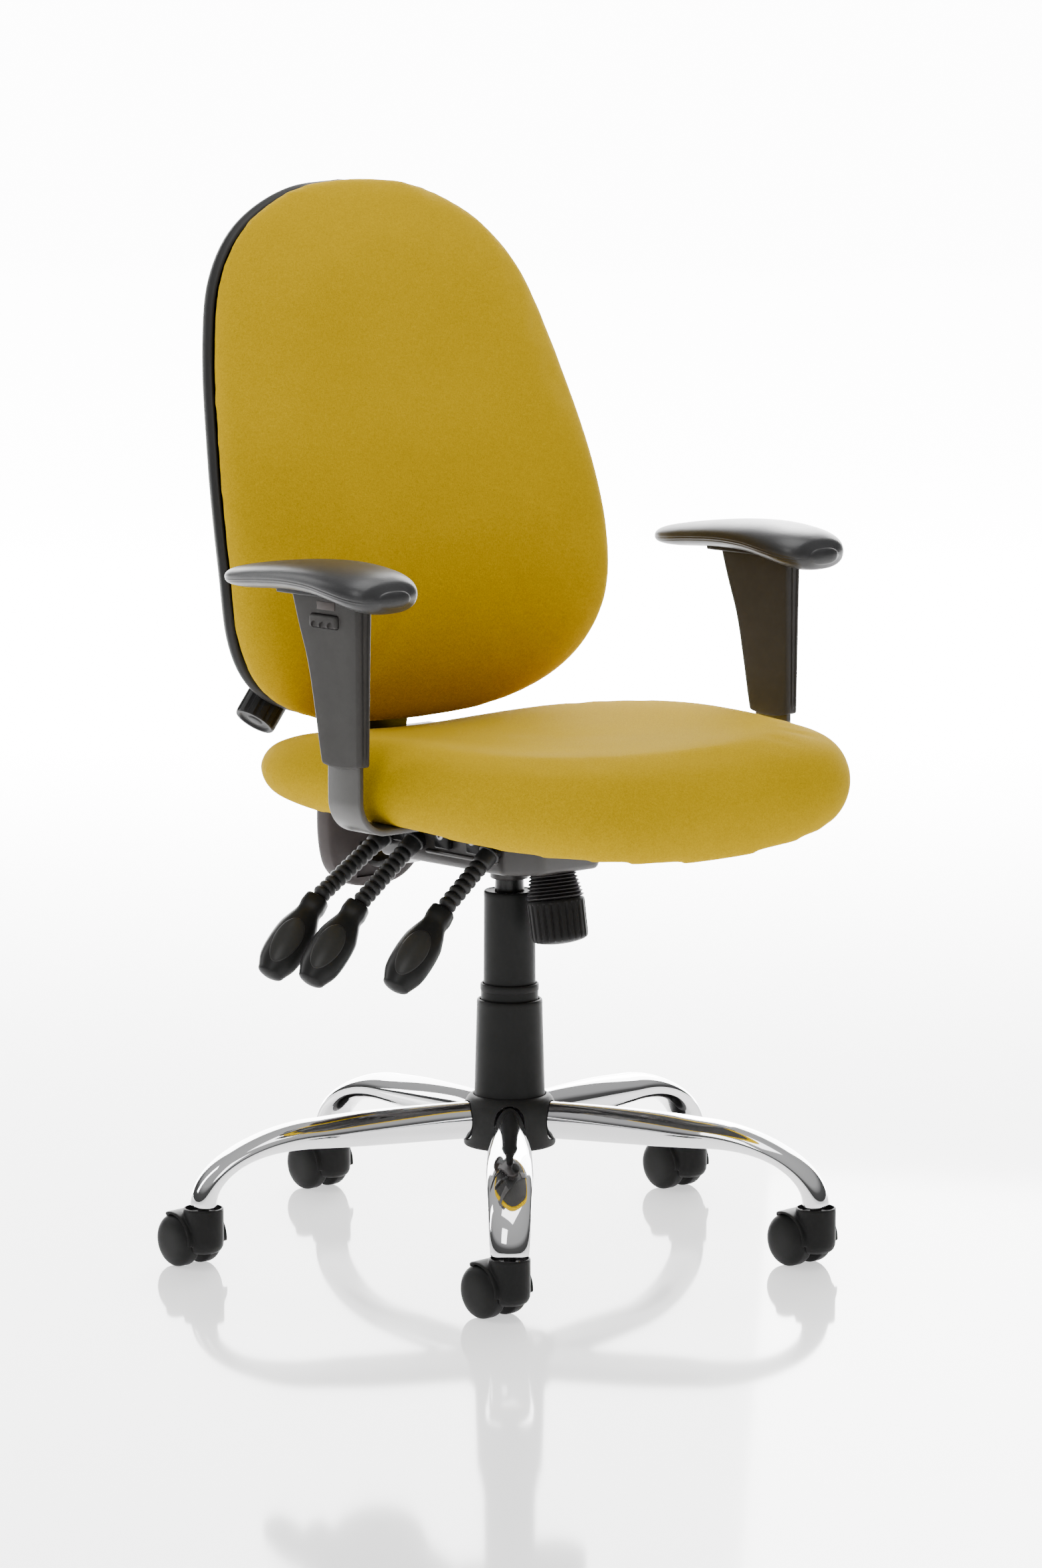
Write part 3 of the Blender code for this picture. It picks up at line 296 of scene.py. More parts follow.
LOOKS = {
    "chrome": chrome(),
    "steel": bare_steel("brushed steel", (0.42, 0.42, 0.43), 0.34),
    "black_steel": painted_steel("black enamel", (0.014, 0.014, 0.014), 0.36),
    "bar": painted_steel("back bar paint", (0.018, 0.018, 0.018), 0.32),
    "bracket": painted_steel("bracket paint", (0.045, 0.043, 0.040), 0.30),
    "housing": painted_steel("housing paint", (0.030, 0.027, 0.026), 0.36),
    "black": moulded_plastic("black plastic", (0.016, 0.016, 0.016), 0.44),
    "cover": moulded_plastic("column cover plastic", (0.012, 0.012, 0.012), 0.52),
    "hub": moulded_plastic("hub plastic", (0.018, 0.018, 0.018), 0.55, 900.0, 0.16),
    "grey": moulded_plastic("dark grey plastic", (0.044, 0.042, 0.040), 0.50, 1100.0, 0.16),
    "castor": moulded_plastic("castor plastic", (0.007, 0.007, 0.007), 0.50, 1200.0, 0.12),
    "badge": moulded_plastic("lever plate", (0.030, 0.030, 0.029), 0.30, 1500.0, 0.04),
    "handle": moulded_plastic("lever grip", (0.014, 0.014, 0.014), 0.36, 1400.0, 0.06),
    "gloss": moulded_plastic("glossy black plastic", (0.010, 0.010, 0.010), 0.20, 1500.0, 0.02),
    "shell": moulded_plastic("back shell plastic", (0.022, 0.022, 0.022), 0.46, 1000.0, 0.16),
    "spine": moulded_plastic("spine cover plastic", (0.060, 0.051, 0.051), 0.48, 1100.0, 0.10),
    "insert": moulded_plastic("arm insert plastic", (0.085, 0.074, 0.070), 0.50, 1100.0, 0.06),
    "rubber": rubber("rubber", (0.008, 0.008, 0.008)),
    "pad": skinned_foam(),
    "fabric": upholstery(),
    "bush": moulded_plastic("acetal", (0.75, 0.74, 0.70), 0.45),
    "board": stained_board(),
}


# ---------------------------------------------------------------- mesh building
def finished(bm):
    """The bmesh as a mesh whose faces all point outwards."""
    bmesh.ops.recalc_face_normals(bm, faces=bm.faces)
    mesh = bpy.data.meshes.new("shape")
    bm.to_mesh(mesh)
    bm.free()
    return mesh


def moved(mesh, matrix):
    mesh = mesh.copy()
    mesh.transform(matrix)
    if matrix.determinant() < 0:
        mesh.flip_normals()
    return mesh


def at(x, y, z):
    return Matrix.Translation((x, y, z))


def turn(degrees, axis):
    return Matrix.Rotation(math.radians(degrees), 4, axis)


ACROSS = turn(90, "Y")  # turns Z into X


def circle(count, offset=0.0):
    """Cosine and sine of evenly spaced angles."""
    angles = [2 * math.pi * (k + offset) / count for k in range(count)]
    return [(math.cos(angle), math.sin(angle)) for angle in angles]


def signed_power(value, power):
    """A power that keeps the sign, which turns a circle's cosine and sine into a squarer outline."""
    return math.copysign(abs(value) ** power, value)


def lofted(rings, closed=False):
    """Faces between rings of equal length. A ring of one point is a tip. An open loft gets flat ends."""
    bm = bmesh.new()
    rows = [[bm.verts.new(point) for point in ring] for ring in rings]
    pairs = list(zip(rows, rows[1:]))
    if closed:
        pairs.append((rows[-1], rows[0]))
    for a, b in pairs:
        count = max(len(a), len(b))
        for i in range(count):
            j = (i + 1) % count
            if len(a) == 1:
                bm.faces.new((a[0], b[i], b[j]))
            elif len(b) == 1:
                bm.faces.new((a[i], b[0], a[j]))
            else:
                bm.faces.new((a[i], b[i], b[j], a[j]))
    if not closed:
        for row in (rows[0], rows[-1]):
            if len(row) > 2:
                bm.faces.new(row)
    return finished(bm)


def turned(profile, count=64):
    """A profile of (radius, height) points turned about Z. A closed profile never meets the axis."""
    spokes = circle(count)
    rings = []
    for radius, height in profile:
        if radius == 0.0:
            rings.append([(0.0, 0.0, height)])
        else:
            rings.append([(radius * cos, radius * sin, height) for cos, sin in spokes])
    return lofted(rings, closed=min(radius for radius, _ in profile) > 0.0)


def rod(radius, low, high, count=32):
    """A plain cylinder along Z."""
    return turned(((0.0, low), (radius, low), (radius, high), (0.0, high)), count)


def block(size, centre):
    bm = bmesh.new()
    bmesh.ops.create_cube(bm, size=1.0)
    bmesh.ops.scale(bm, vec=size, verts=bm.verts)
    bmesh.ops.translate(bm, vec=centre, verts=bm.verts)
    return finished(bm)


def prism(outline, low, high):
    """A flat outline in X and Y, extruded from low to high in Z."""
    return lofted([[(x, y, z) for x, y in outline] for z in (low, high)])


def evaluated(obj):
    """The mesh of an object with its modifiers applied. The object goes."""
    graph = bpy.context.evaluated_depsgraph_get()
    mesh = bpy.data.meshes.new_from_object(obj.evaluated_get(graph))
    bpy.data.objects.remove(obj)
    return mesh


def helper(mesh):
    obj = bpy.data.objects.new("helper", mesh.copy())
    bpy.context.scene.collection.objects.link(obj)
    return obj


def add_modifier(obj, kind, **settings):
    modifier = obj.modifiers.new(kind.title(), kind)
    for name, value in settings.items():
        setattr(modifier, name, value)
    return modifier


def combined(base, others, operation):
    target = helper(base)
    tools = [helper(other) for other in others]
    for tool in tools:
        add_modifier(target, "BOOLEAN", operation=operation, object=tool)
    mesh = evaluated(target)
    for tool in tools:
        bpy.data.objects.remove(tool)
    return mesh


def joined(base, *others):
    return combined(base, others, "UNION")


def cut(base, *others):
    return combined(base, others, "DIFFERENCE")


def modified(mesh, kind, **settings):
    """The mesh with one modifier applied."""
    obj = helper(mesh)
    add_modifier(obj, kind, **settings)
    return evaluated(obj)


def relaxed(mesh, steps):
    return modified(mesh, "SMOOTH", iterations=steps, factor=0.5)


def remeshed(mesh, voxel, smoothing):
    """One even skin over the mesh, its edges softened by the smoothing steps."""
    return relaxed(modified(mesh, "REMESH", mode="VOXEL", voxel_size=voxel), smoothing)


def bevelled(mesh, edge, segments=3):
    return modified(mesh, "BEVEL", width=edge, segments=segments)


def rounded_box(size, centre, edge, segments=3):
    return bevelled(block(size, centre), edge, segments)


# ---------------------------------------------------------------- curves
def along(points, t):
    """The value of a smooth curve through (t, value) points."""
    points = sorted(points)
    t = min(max(t, points[0][0]), points[-1][0])
    k = max(i for i, point in enumerate(points[:-1]) if point[0] <= t)

    def slope(i):
        a = points[max(i - 1, 0)]
        b = points[min(i + 1, len(points) - 1)]
        return (b[1] - a[1]) / (b[0] - a[0])

    (t0, v0), (t1, v1) = points[k], points[k + 1]
    span = t1 - t0
    u = (t - t0) / span
    return (
        (2 * u**3 - 3 * u**2 + 1) * v0
        + (u**3 - 2 * u**2 + u) * span * slope(k)
        + (3 * u**2 - 2 * u**3) * v1
        + (u**3 - u**2) * span * slope(k + 1)
    )


def curves(rows):
    """One curve for each later column of the rows, along their first."""
    return [[(row[0], row[column]) for row in rows] for column in range(1, len(rows[0]))]


def numbered(rows):
    """One curve for each column of the rows, along their numbers."""
    return curves([(i, *row) for i, row in enumerate(rows)])


def values(columns, t):
    return [along(column, t) for column in columns]


def rounded_path(points, radius, steps=14):
    """A 2-D path with its inner corners replaced by arcs."""
    points = [Vector(point) for point in points]
    path = [points[0]]
    for before, corner, after in zip(points, points[1:], points[2:]):
        a = (before - corner).normalized()
        b = (after - corner).normalized()
        half = a.angle(b) / 2
        centre = corner + (a + b).normalized() * radius / math.sin(half)
        start = corner + a * radius / math.tan(half)
        sweep = math.pi - 2 * half
        side = 1.0 if a.cross(b) < 0 else -1.0
        spoke = start - centre
        for i in range(steps + 1):
            angle = side * sweep * i / steps
            cos, sin = math.cos(angle), math.sin(angle)
            path.append(centre + Vector((spoke.x * cos - spoke.y * sin, spoke.x * sin + spoke.y * cos)))
    path.append(points[-1])
    return path


def flat_bar(path, thick, width, edge=0.0008):
    """A flat bar with eased edges, bent along a path in (y, z), its width along X."""
    half = width / 2
    section = []
    for x_side, y_side, start in ((1, 1, 0), (-1, 1, 90), (-1, -1, 180), (1, -1, 270)):
        for step in (0, 30, 60, 90):
            a = math.radians(start + step)
            section.append((x_side * (half - edge) + edge * math.cos(a),
                            y_side * (thick / 2 - edge) + edge * math.sin(a)))
    rings = []
    for i, point in enumerate(path):
        before = path[max(i - 1, 0)]
        after = path[min(i + 1, len(path) - 1)]
        ahead = (after - before).normalized()
        side = Vector((-ahead.y, ahead.x))
        rings.append([(x, point.x + side.x * s, point.y + side.y * s) for x, s in section])
    return lofted(rings)


# ---------------------------------------------------------------- pieces
def ease_edges(obj, width, segments, over_deg):
    add_modifier(obj, "BEVEL", width=width, segments=segments, limit_method="ANGLE",
                 angle_limit=math.radians(over_deg))


def put(name, mesh, look, body, stands_for=(), place=HOME, smooth_deg=35.0, bevel=0.0):
    """A named piece that rides on a body and stands for CAD nodes."""
    mesh = mesh.copy()
    mesh.name = name
    mesh.materials.clear()
    mesh.materials.append(LOOKS[look])
    mesh.shade_smooth()
    if smooth_deg:
        mesh.set_sharp_from_angle(angle=math.radians(smooth_deg))
    obj = bpy.data.objects.new(name, mesh)
    obj.matrix_world = place
    bpy.context.scene.collection.objects.link(obj)
    if bevel:
        ease_edges(obj, bevel, 3, 40.0)
    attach(obj, body)
    if stands_for:
        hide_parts(*stands_for)
    return obj


def paint(look, slot, *nodes, bevel=0.0):
    """A look, and perhaps eased edges, for CAD nodes that are shown as they are."""
    for name in nodes:
        obj = frame["nodes"][name]
        obj.data.materials.clear()
        obj.data.materials.append(LOOKS[look])
        if bevel:
            ease_edges(obj, bevel, 2, 50.0)


def screw(radius, height):
    """A button-head screw along Z with a hex recess in its top."""
    head = turned(((0.0, 0.0), (radius, 0.0), (radius, height * 0.4), (radius * 0.86, height * 0.85),
                   (radius * 0.62, height), (0.0, height)), 36)
    hexagon = [(radius * 0.42 * cos, radius * 0.42 * sin) for cos, sin in circle(6)]
    return cut(head, prism(hexagon, height * 0.45, height * 2))


# ---------------------------------------------------------------- base
def leg_section(s):
    """Half width and half height of the leg's oval tube at a fraction s of its length."""
    half_width = along(((0.0, 0.0132), (0.12, 0.0142), (0.35, 0.0195), (0.55, 0.0222), (0.8, 0.0203),
                        (1.0, 0.0180)), s)
    half_height = along(((0.0, 0.0180), (0.35, 0.0170), (0.55, 0.0140), (0.75, 0.0100), (1.0, 0.0125)), s)
    return half_width, half_height


def leg_centre(s):
    """Centre line of the leg in (radius, height), straight from the hub and then a quarter ellipse."""
    start, straight, sink = 0.0320, 0.52, 0.003
    if s < straight:
        u = s / straight
        return Vector((start + (LEG_BEND_START - start) * u, LEG_HUB_Z - sink * u * u))
    angle = (s - straight) / (1 - straight) * math.pi / 2
    reach = STEM_RADIUS_FROM_AXIS - LEG_BEND_START
    drop = LEG_HUB_Z - sink - LEG_TIP_Z
    return Vector((LEG_BEND_START + reach * math.sin(angle), LEG_TIP_Z + drop * math.cos(angle)))


def leg_ring(s, inset, count):
    """The tube's outline at s, inset all round and square to its centre line."""
    centre = leg_centre(s)
    ahead = (leg_centre(min(s + 0.01, 1.0)) - leg_centre(max(s - 0.01, 0.0))).normalized()
    if s in (0.0, 1.0):
        ahead = Vector((1.0, 0.0)) if s == 0.0 else Vector((0.0, -1.0))
    up = Vector((-ahead.y, ahead.x))
    half_width, half_height = leg_section(s)
    ring = []
    for cos, sin in circle(count):
        spot = centre + up * (half_height - inset) * cos
        ring.append((spot.x, (half_width - inset) * sin, spot.y))
    return ring


def leg_mesh():
    """A thin-walled oval tube, its mouth rolled in a little round the castor's stem."""
    count, steps, wall = 48, 60, 0.0018
    outer = [leg_ring(i / steps, 0.0, count) for i in range(steps)]
    rolled = ((0.0, 0.0006), (0.0003, 0.0001), (0.0008, 0.0), (0.0015, 0.0001), (wall, 0.0008))
    mouth = [[(x, y, LEG_TIP_Z + lift) for x, y, _ in leg_ring(1.0, inset, count)] for inset, lift in rolled]
    inner = [leg_ring(i / steps, wall, count) for i in range(steps - 1, -1, -1)]
    return lofted(outer + mouth + inner, closed=True)


def hub_cover_mesh():
    """A bell with rounded shoulders, an arched window for each leg and a rim that runs on under them."""
    profile = (
        (0.0410, 0.1098), (0.0415, 0.1087), (0.0425, 0.1083), (0.0434, 0.1087), (0.0439, 0.1098),
        (0.0440, 0.1120), (0.0440, 0.1400), (0.0437, 0.1450), (0.0428, 0.1492), (0.0412, 0.1526),
        (0.0392, 0.1552), (0.0372, 0.1567), (0.0356, 0.1573), (0.0349, 0.1570), (0.0347, 0.1562),
        (0.0347, 0.1540), (0.0385, 0.1530), (0.0408, 0.1480), (0.0410, 0.1400), (0.0410, 0.1120),
    )
    half_width, half_height = 0.0146, 0.0188
    arch = []
    for cos, sin in circle(64):
        square = 0.90 if sin > 0 else 0.75
        arch.append((half_width * signed_power(cos, square),
                     LEG_HUB_Z + half_height * signed_power(sin, square)))
    window = moved(prism(arch, 0.030, 0.050), TO_X)
    windows = [moved(window, turn(FIRST_LEG_DEG + 360.0 / LEG_COUNT * k, "Z")) for k in range(LEG_COUNT)]
    return cut(turned(profile, 200), *windows)


def wheel_mesh():
    """One castor wheel about X, its domed face towards +X: a soft tread and a plain domed cover."""
    inner_side = ((0.0, 0.0010), (0.0120, 0.0010), (0.0200, 0.0), (0.0238, 0.0004), (0.0247, 0.0012),
                  (WHEEL_R, 0.0024))
    profile = [(radius, WHEEL_INNER_FACE + depth) for radius, depth in inner_side]
    dome, steps = 0.0090, 16
    shoulder = WHEEL_INNER_FACE + WHEEL_WIDTH - dome
    profile.append((WHEEL_R, shoulder))
    for i in range(1, steps + 1):
        angle = math.pi / 2 * i / steps
        profile.append((WHEEL_R * math.cos(angle) ** 0.62 if i < steps else 0.0,
                        shoulder + dome * math.sin(angle) ** 0.9))
    return moved(turned(profile, 72), ACROSS)


def hood_mesh():
    """One moulding: a thin guard over both wheels, a web between them and the cup that runs on as a skirt.

    Its heights, like the stem's, are above the floor.
    """
    inner, outer = WHEEL_R + 0.0011, WHEEL_R + 0.0032
    ease, crown = 0.0012, 0.0004
    rings = []
    for i in range(36):
        angle = math.radians(44 + 4 * i)
        half = 0.0236 - 0.0120 * max(0.0, 1.0 - i / 9) ** 1.5
        section = ((-half, inner), (-half, outer - ease), (-half + ease, outer), (0.0, outer + crown),
                   (half - ease, outer), (half, outer - ease), (half, inner))
        rings.append([(x, TRAIL + r * math.cos(angle), WHEEL_R + r * math.sin(angle)) for x, r in section])
    guard = lofted(rings)
    web_half, web_reach, web_height = 0.0054, 0.0258, 0.0262
    web_sweep = [math.radians(-20 + 8 * i) for i in range(28)]
    web_outline = [(TRAIL + web_reach * math.cos(a), WHEEL_R + web_height * math.sin(a)) for a in web_sweep]
    web = moved(prism(web_outline, -web_half, web_half), TO_X)
    skirt = turned(((0.0, 0.0142), (0.0100, 0.0142), (0.0140, 0.0152), (0.0170, 0.0178), (0.0186, 0.0215),
                    (0.0190, 0.0260), (0.0190, 0.0575), (0.0, 0.0575)), 64)
    body = remeshed(joined(guard, web, skirt), 0.0009, 4)
    hollow = turned(((0.0, 0.0530), (0.0166, 0.0530), (0.0172, 0.0540), (0.0176, 0.0620), (0.0, 0.0620)), 48)
    well = rod(inner, -0.02, 0.02, 72)
    wells = [moved(well, at(side * 0.0258, TRAIL, WHEEL_R) @ ACROSS) for side in (-1, 1)]
    return cut(body, hollow, *wells)


def build_base():
    put("hub_bell", hub_cover_mesh(), "hub", "base", ("hub_cover",), bevel=0.0005)
    paint("steel", "steel", "hub_core", "stand_tube", "thrust_bearing")
    leg = leg_mesh()
    hood = hood_mesh()
    wheel = wheel_mesh()
    stem = turned(((0.0, 0.050), (0.0055, 0.050), (0.0055, 0.0760), (0.0045, 0.0772), (0.0, 0.0772)), 32)
    for k in range(1, LEG_COUNT + 1):
        angle = FIRST_LEG_DEG + 360.0 / LEG_COUNT * (k - 1)
        tube = moved(leg, turn(angle, "Z"))
        put(f"leg_{k}_tube", tube, "chrome", "base", (f"leg_{k}",), smooth_deg=70)
        place = joint_place(f"castor_{k}_swivel")
        stand = at(place.x, place.y, 0.0)
        name = f"castor_{k}"
        put(f"{name}_moulding", hood, "castor", name, (f"{name}_hood",), stand)
        put(f"{name}_stem", stem, "steel", name, (), stand)
        for side, flip in (("right", 180), ("left", 0)):
            axle = joint_place(f"{name}_{side}_roll")
            put(f"{name}_{side}_roller", wheel, "castor", f"{name}_{side}_wheel",
                (f"{name}_wheel_{side}",), at(place.x, axle.y, axle.z) @ turn(flip, "Z"), smooth_deg=50)


# ---------------------------------------------------------------- gas lift
def build_lift():
    """Three telescopic covers round the gas cylinder, each with a rolled upper lip."""
    bore = 0.0144
    lower = (
        (0.0290, 0.1525), (0.0338, 0.1525), (0.0342, 0.1532), (0.0341, 0.1546), (0.0336, 0.1600),
        (0.0313, 0.2440), (0.0314, 0.2452), (0.0313, 0.2474), (0.0309, 0.2487), (0.0302, 0.2493),
        (0.0292, 0.2494), (0.0286, 0.2488), (0.0286, 0.1580),
    )
    middle = (
        (0.0258, 0.1850), (0.0278, 0.1850), (0.0274, 0.2575), (0.0279, 0.2582), (0.0280, 0.2625),
        (0.0277, 0.2638), (0.0270, 0.2645), (0.0262, 0.2645), (0.0257, 0.2638),
    )
    upper = (
        (0.0228, 0.2150), (0.0251, 0.2150), (0.0244, 0.3480), (0.0246, 0.3488), (0.0246, 0.3516),
        (0.0243, 0.3530), (0.0236, 0.3538), (0.0226, 0.3540), (0.0212, 0.3534), (0.0200, 0.3531),
        (bore, 0.3531), (bore, 0.3515), (0.0222, 0.3505),
    )
    for name, profile, body in (("lower", lower, "base"), ("middle", middle, "middle_cover"),
                                ("upper", upper, "mechanism")):
        put(f"column_cover_{name}", turned(profile, 128), "cover", body, (f"cover_{name}",))
    cylinder = (
        (0.0054, 0.175), (0.0140, 0.175), (0.0140, 0.357), (0.0125, 0.3885), (0.0037, 0.3885),
        (0.0037, 0.369), (0.0118, 0.365), (0.0118, 0.184), (0.0054, 0.184),
    )
    put("gas_cylinder", turned(cylinder, 96), "black_steel", "mechanism", ("lift_cylinder",))
    paint("chrome", "chrome", "piston_rod")
    paint("bush", "acetal", "guide_bush")
    paint("steel", "steel", "release_pin")


# ---------------------------------------------------------------- mechanism
def housing_outline(inset):
    """The pan's plan: straight sides that turn in towards the nose."""
    side = HOUSING_HALF_WIDTH - inset
    nose = NOSE_HALF_WIDTH - 0.5 * inset
    half = [(side, HOUSING_REAR - inset), (side, NOSE_REAR + 0.4 * inset), (nose, HOUSING_FRONT + inset)]
    return half + [(-x, y) for x, y in half[::-1]]


def housing_mesh():
    """Pressed-steel pan with a narrower nose: turned-out rim, a rib along each side, ears, a lift socket."""
    sheet, wall = 0.0025, HOUSING_HALF_WIDTH
    pan = bevelled(prism(housing_outline(0.0), HOUSING_FLOOR, HOUSING_TOP), 0.006, 4)
    rim = bevelled(prism(housing_outline(-0.002), HOUSING_TOP - 0.0027, HOUSING_TOP - 0.0001), 0.001, 2)
    rib_end = ((0.0024, 0.048), (0.0016, 0.0505), (0.0, 0.052))
    rib = turned((*((radius, -along_rib) for radius, along_rib in rib_end[::-1]), *rib_end), 20)
    pan = joined(pan, rim, *(moved(rib, at(side * wall, -0.002, 0.3925) @ turn(90, "X")) for side in (-1, 1)))
    hollow = prism(housing_outline(sheet), HOUSING_FLOOR + sheet, HOUSING_TOP + 0.01)
    ear_y = joint_place("seat_tilt").y - COLUMN.y
    ears = [rounded_box((sheet, 0.022, 0.034), (side * (wall - sheet / 2), ear_y + 0.004, 0.4245), 0.0008, 2)
            for side in (-1, 1)]
    socket_profile = ((0.0, 0.3655), (0.0175, 0.3655), (0.0185, 0.3665), (0.0185, 0.3780), (0.0210, 0.3800),
                      (0.0210, 0.3900), (0.0, 0.3900))
    socket = turned(socket_profile, 64)
    pan = joined(cut(pan, hollow), *ears, socket)
    taper_profile = ((0.0, 0.350), (0.0144, 0.350), (0.0144, 0.357), (0.0129, 0.3885), (0.0129, 0.41),
                     (0.0, 0.41))
    taper = turned(taper_profile, 48)
    side_hole = rod(0.0045, -0.01, 0.01)
    holes = [moved(side_hole, at(side * wall, 0.0200, 0.4080) @ ACROSS) for side in (-1, 1)]
    rear_slot = block((0.056, 0.02, 0.030), (0, HOUSING_REAR, HOUSING_FLOOR + 0.012))
    floor_slot = block((0.056, 0.052, 0.02), (0, HOUSING_REAR - 0.020, HOUSING_FLOOR))
    return cut(pan, taper, *holes, rear_slot, floor_slot)


def tension_frame():
    """Local +Z runs down the tension bolt from the housing's floor."""
    top = joint_place("tension_knob_turn")
    return Matrix.Translation(top) @ TENSION_DOWN.to_track_quat("Z", "Y").to_matrix().to_4x4()


def bellows_mesh():
    """Accordion sleeve that widens downwards, plain inside."""
    ribs, steps = 7, 10
    start, end = 0.0030, BELLOWS_LENGTH
    profile = []
    for i in range(ribs * steps + 1):
        u = i / (ribs * steps)
        wave = (1 - math.cos(2 * math.pi * i / steps)) / 2
        profile.append((0.0200 + 0.0055 * u + 0.0024 * wave ** 0.8, start + (end - start) * u))
    profile += [(0.0220, end), (0.0180, start)]
    return turned(profile, 96)


def grooved(radius, depth, count, land, z):
    """A round ring with narrow grooves. Land is the share of the pitch that stays full between them."""
    per_flute = 12
    ring = []
    for k, (cos, sin) in enumerate(circle(count * per_flute)):
        u = abs((k / per_flute) % 1.0 - 0.5) * 2
        drop = math.sqrt(max(0.0, 1.0 - u / (1.0 - land)))
        r = radius - depth * drop
        ring.append((r * cos, r * sin, z))
    return ring


def grip(radius, count, land, stations):
    """A knob through stations of (share of the radius, groove depth, height), closed at both ends."""
    rings = [grooved(radius * share, depth, count, land, z) for share, depth, z in stations]
    ends = [[(0.0, 0.0, stations[end][2])] for end in (0, -1)]
    return lofted([ends[0], *rings, ends[1]])


def knob_mesh():
    """Tension knob: deep flutes between an eased rim and a low dome."""
    low = BELLOWS_LENGTH + 0.0006
    high = BELLOWS_LENGTH + 0.0395
    near = ((0.40, 0.0, low), (0.90, 0.0, low), (0.955, 0.0, low + 0.0003), (0.985, 0.0, low + 0.0014),
            (1.0, 0.0004, low + 0.0030))
    side = [(1.0 - 0.018 * u, 0.0014, low + (high - low) * u) for u in (0.12, 0.3, 0.6, 0.86)]
    far = ((0.972, 0.0010, high - 0.0030), (0.955, 0.0005, high - 0.0015), (0.92, 0.0, high - 0.0003),
           (0.80, 0.0, high + 0.0014), (0.60, 0.0, high + 0.0027), (0.35, 0.0, high + 0.0037),
           (0.15, 0.0, high + 0.0040))
    return grip(KNOB_R, 24, 0.62, (*near, *side, *far))


def build_mechanism():
    put("mechanism_pan", housing_mesh(), "housing", "mechanism", ("mech_housing",),
        bevel=0.0004)
    head = screw(0.0042, 0.0026)
    for number, (y, z) in enumerate(((0.0810, 0.4090), (0.0200, 0.4085), (-0.0250, 0.4085)), start=1):
        pivot_block = rounded_box((0.0075, 0.0190, 0.0210), (-HOUSING_HALF_WIDTH - 0.0038, y, z), 0.0018)
        put(f"pivot_block_{number}", pivot_block, "gloss", "mechanism")
        head_place = at(-HOUSING_HALF_WIDTH - 0.0074, y, z + 0.002) @ turn(-90, "Y")
        put(f"pivot_screw_{number}", moved(head, head_place), "steel", "mechanism")
    put("tension_sleeve", bellows_mesh(), "rubber", "tension_slider", ("tension_bellows",),
        tension_frame())
    put("tension_grip", knob_mesh(), "cover", "tension_knob", ("tension_knob",),
        tension_frame(), smooth_deg=28)
    paint("steel", "steel", "tension_bolt", "tension_spring", "seat_tilt_pin", "recline_pin", bevel=0.0004)


# ---------------------------------------------------------------- levers
def lever_frame(name):
    """Local +Z runs out along the lever's sleeve, local +X faces up and out."""
    turned_down = Matrix.Rotation(-math.pi / 2 - LEVERS[name][1], 4, "Y")
    return Matrix.Translation(joint_place(f"{name}_lever_lift")) @ turned_down


def handle_frame(name):
    """Local +Z runs out along the handle from the sleeve's end, and local +X faces out of its thumb face."""
    end = lever_frame(name) @ Vector((0.0, 0.0, LEVERS[name][0]))
    turned_down = Matrix.Rotation(-math.pi / 2 - HANDLE_ANGLE, 4, "Y")
    return Matrix.Translation(end) @ turned_down @ Matrix.Rotation(-HANDLE_ROLL, 4, "Z")


def sleeve_mesh(length):
    """A smooth collar with a washer at its root, then a corrugated sleeve with a rounded end."""
    steps = 8
    profile = [(0.0, 0.0), (0.0108, 0.0), (0.0112, 0.0006), (0.0112, 0.0016), (0.0106, 0.0022),
               (0.0092, 0.0024), (0.0094, 0.0060), (0.0094, 0.0130), (0.0090, 0.0150), (0.0078, 0.0160)]
    start = 0.0165
    ribs = round((length - start) / 0.0078)
    for i in range(ribs * steps + 1):
        u = i / (ribs * steps)
        wave = abs(math.sin(math.pi * i / steps)) ** 0.7
        profile.append((0.0066 + 0.0024 * wave, start + (length - start) * u))
    profile += [(0.0060, length + 0.0012), (0.0045, length + 0.0016), (0.0, length + 0.0016)]
    return turned(profile, 48)


def handle_section(u):
    """Half thickness above and below the handle's axis, and half width, at a fraction u of its length."""
    above = along(((0.0, 0.0100), (0.10, 0.0110), (0.20, 0.0106), (0.32, 0.0126), (0.50, 0.0148),
                   (0.8, 0.0146), (1.0, 0.0108)), u)
    below = along(((0.0, 0.0104), (0.12, 0.0118), (0.22, 0.0092), (0.34, 0.0100), (0.43, 0.0172),
                   (0.50, 0.0142), (0.75, 0.0124), (1.0, 0.0104)), u)
    half_width = along(((0.0, 0.0112), (0.12, 0.0122), (0.20, 0.0118), (0.32, 0.0158), (0.45, 0.0192),
                        (0.66, 0.0204), (0.86, 0.0188), (1.0, 0.0136)), u)
    return above, below, half_width


def handle_mesh():
    """Paddle grip: a squared neck, a waist, a broad egg-shaped thumb face and a finger stop underneath."""
    steps, end_cap = 48, 0.0058
    start, end = HANDLE_START, HANDLE_START + HANDLE_LENGTH
    rings = [[(0.0, 0.0, start)]]
    for scale, back in ((0.80, 0.0), (0.92, 0.0002), (1.0, 0.0014)):
        rings.append(handle_ring(0.0, scale, start + back))
    for i in range(1, steps + 1):
        rings.append(handle_ring(i / steps, 1.0, start + HANDLE_LENGTH * (i / steps)))
    for i in range(1, 6):
        angle = math.pi / 2 * i / 6
        rings.append(handle_ring(1.0, math.cos(angle), end + end_cap * math.sin(angle)))
    rings.append([(0.0, 0.0, end + end_cap)])
    return lofted(rings)


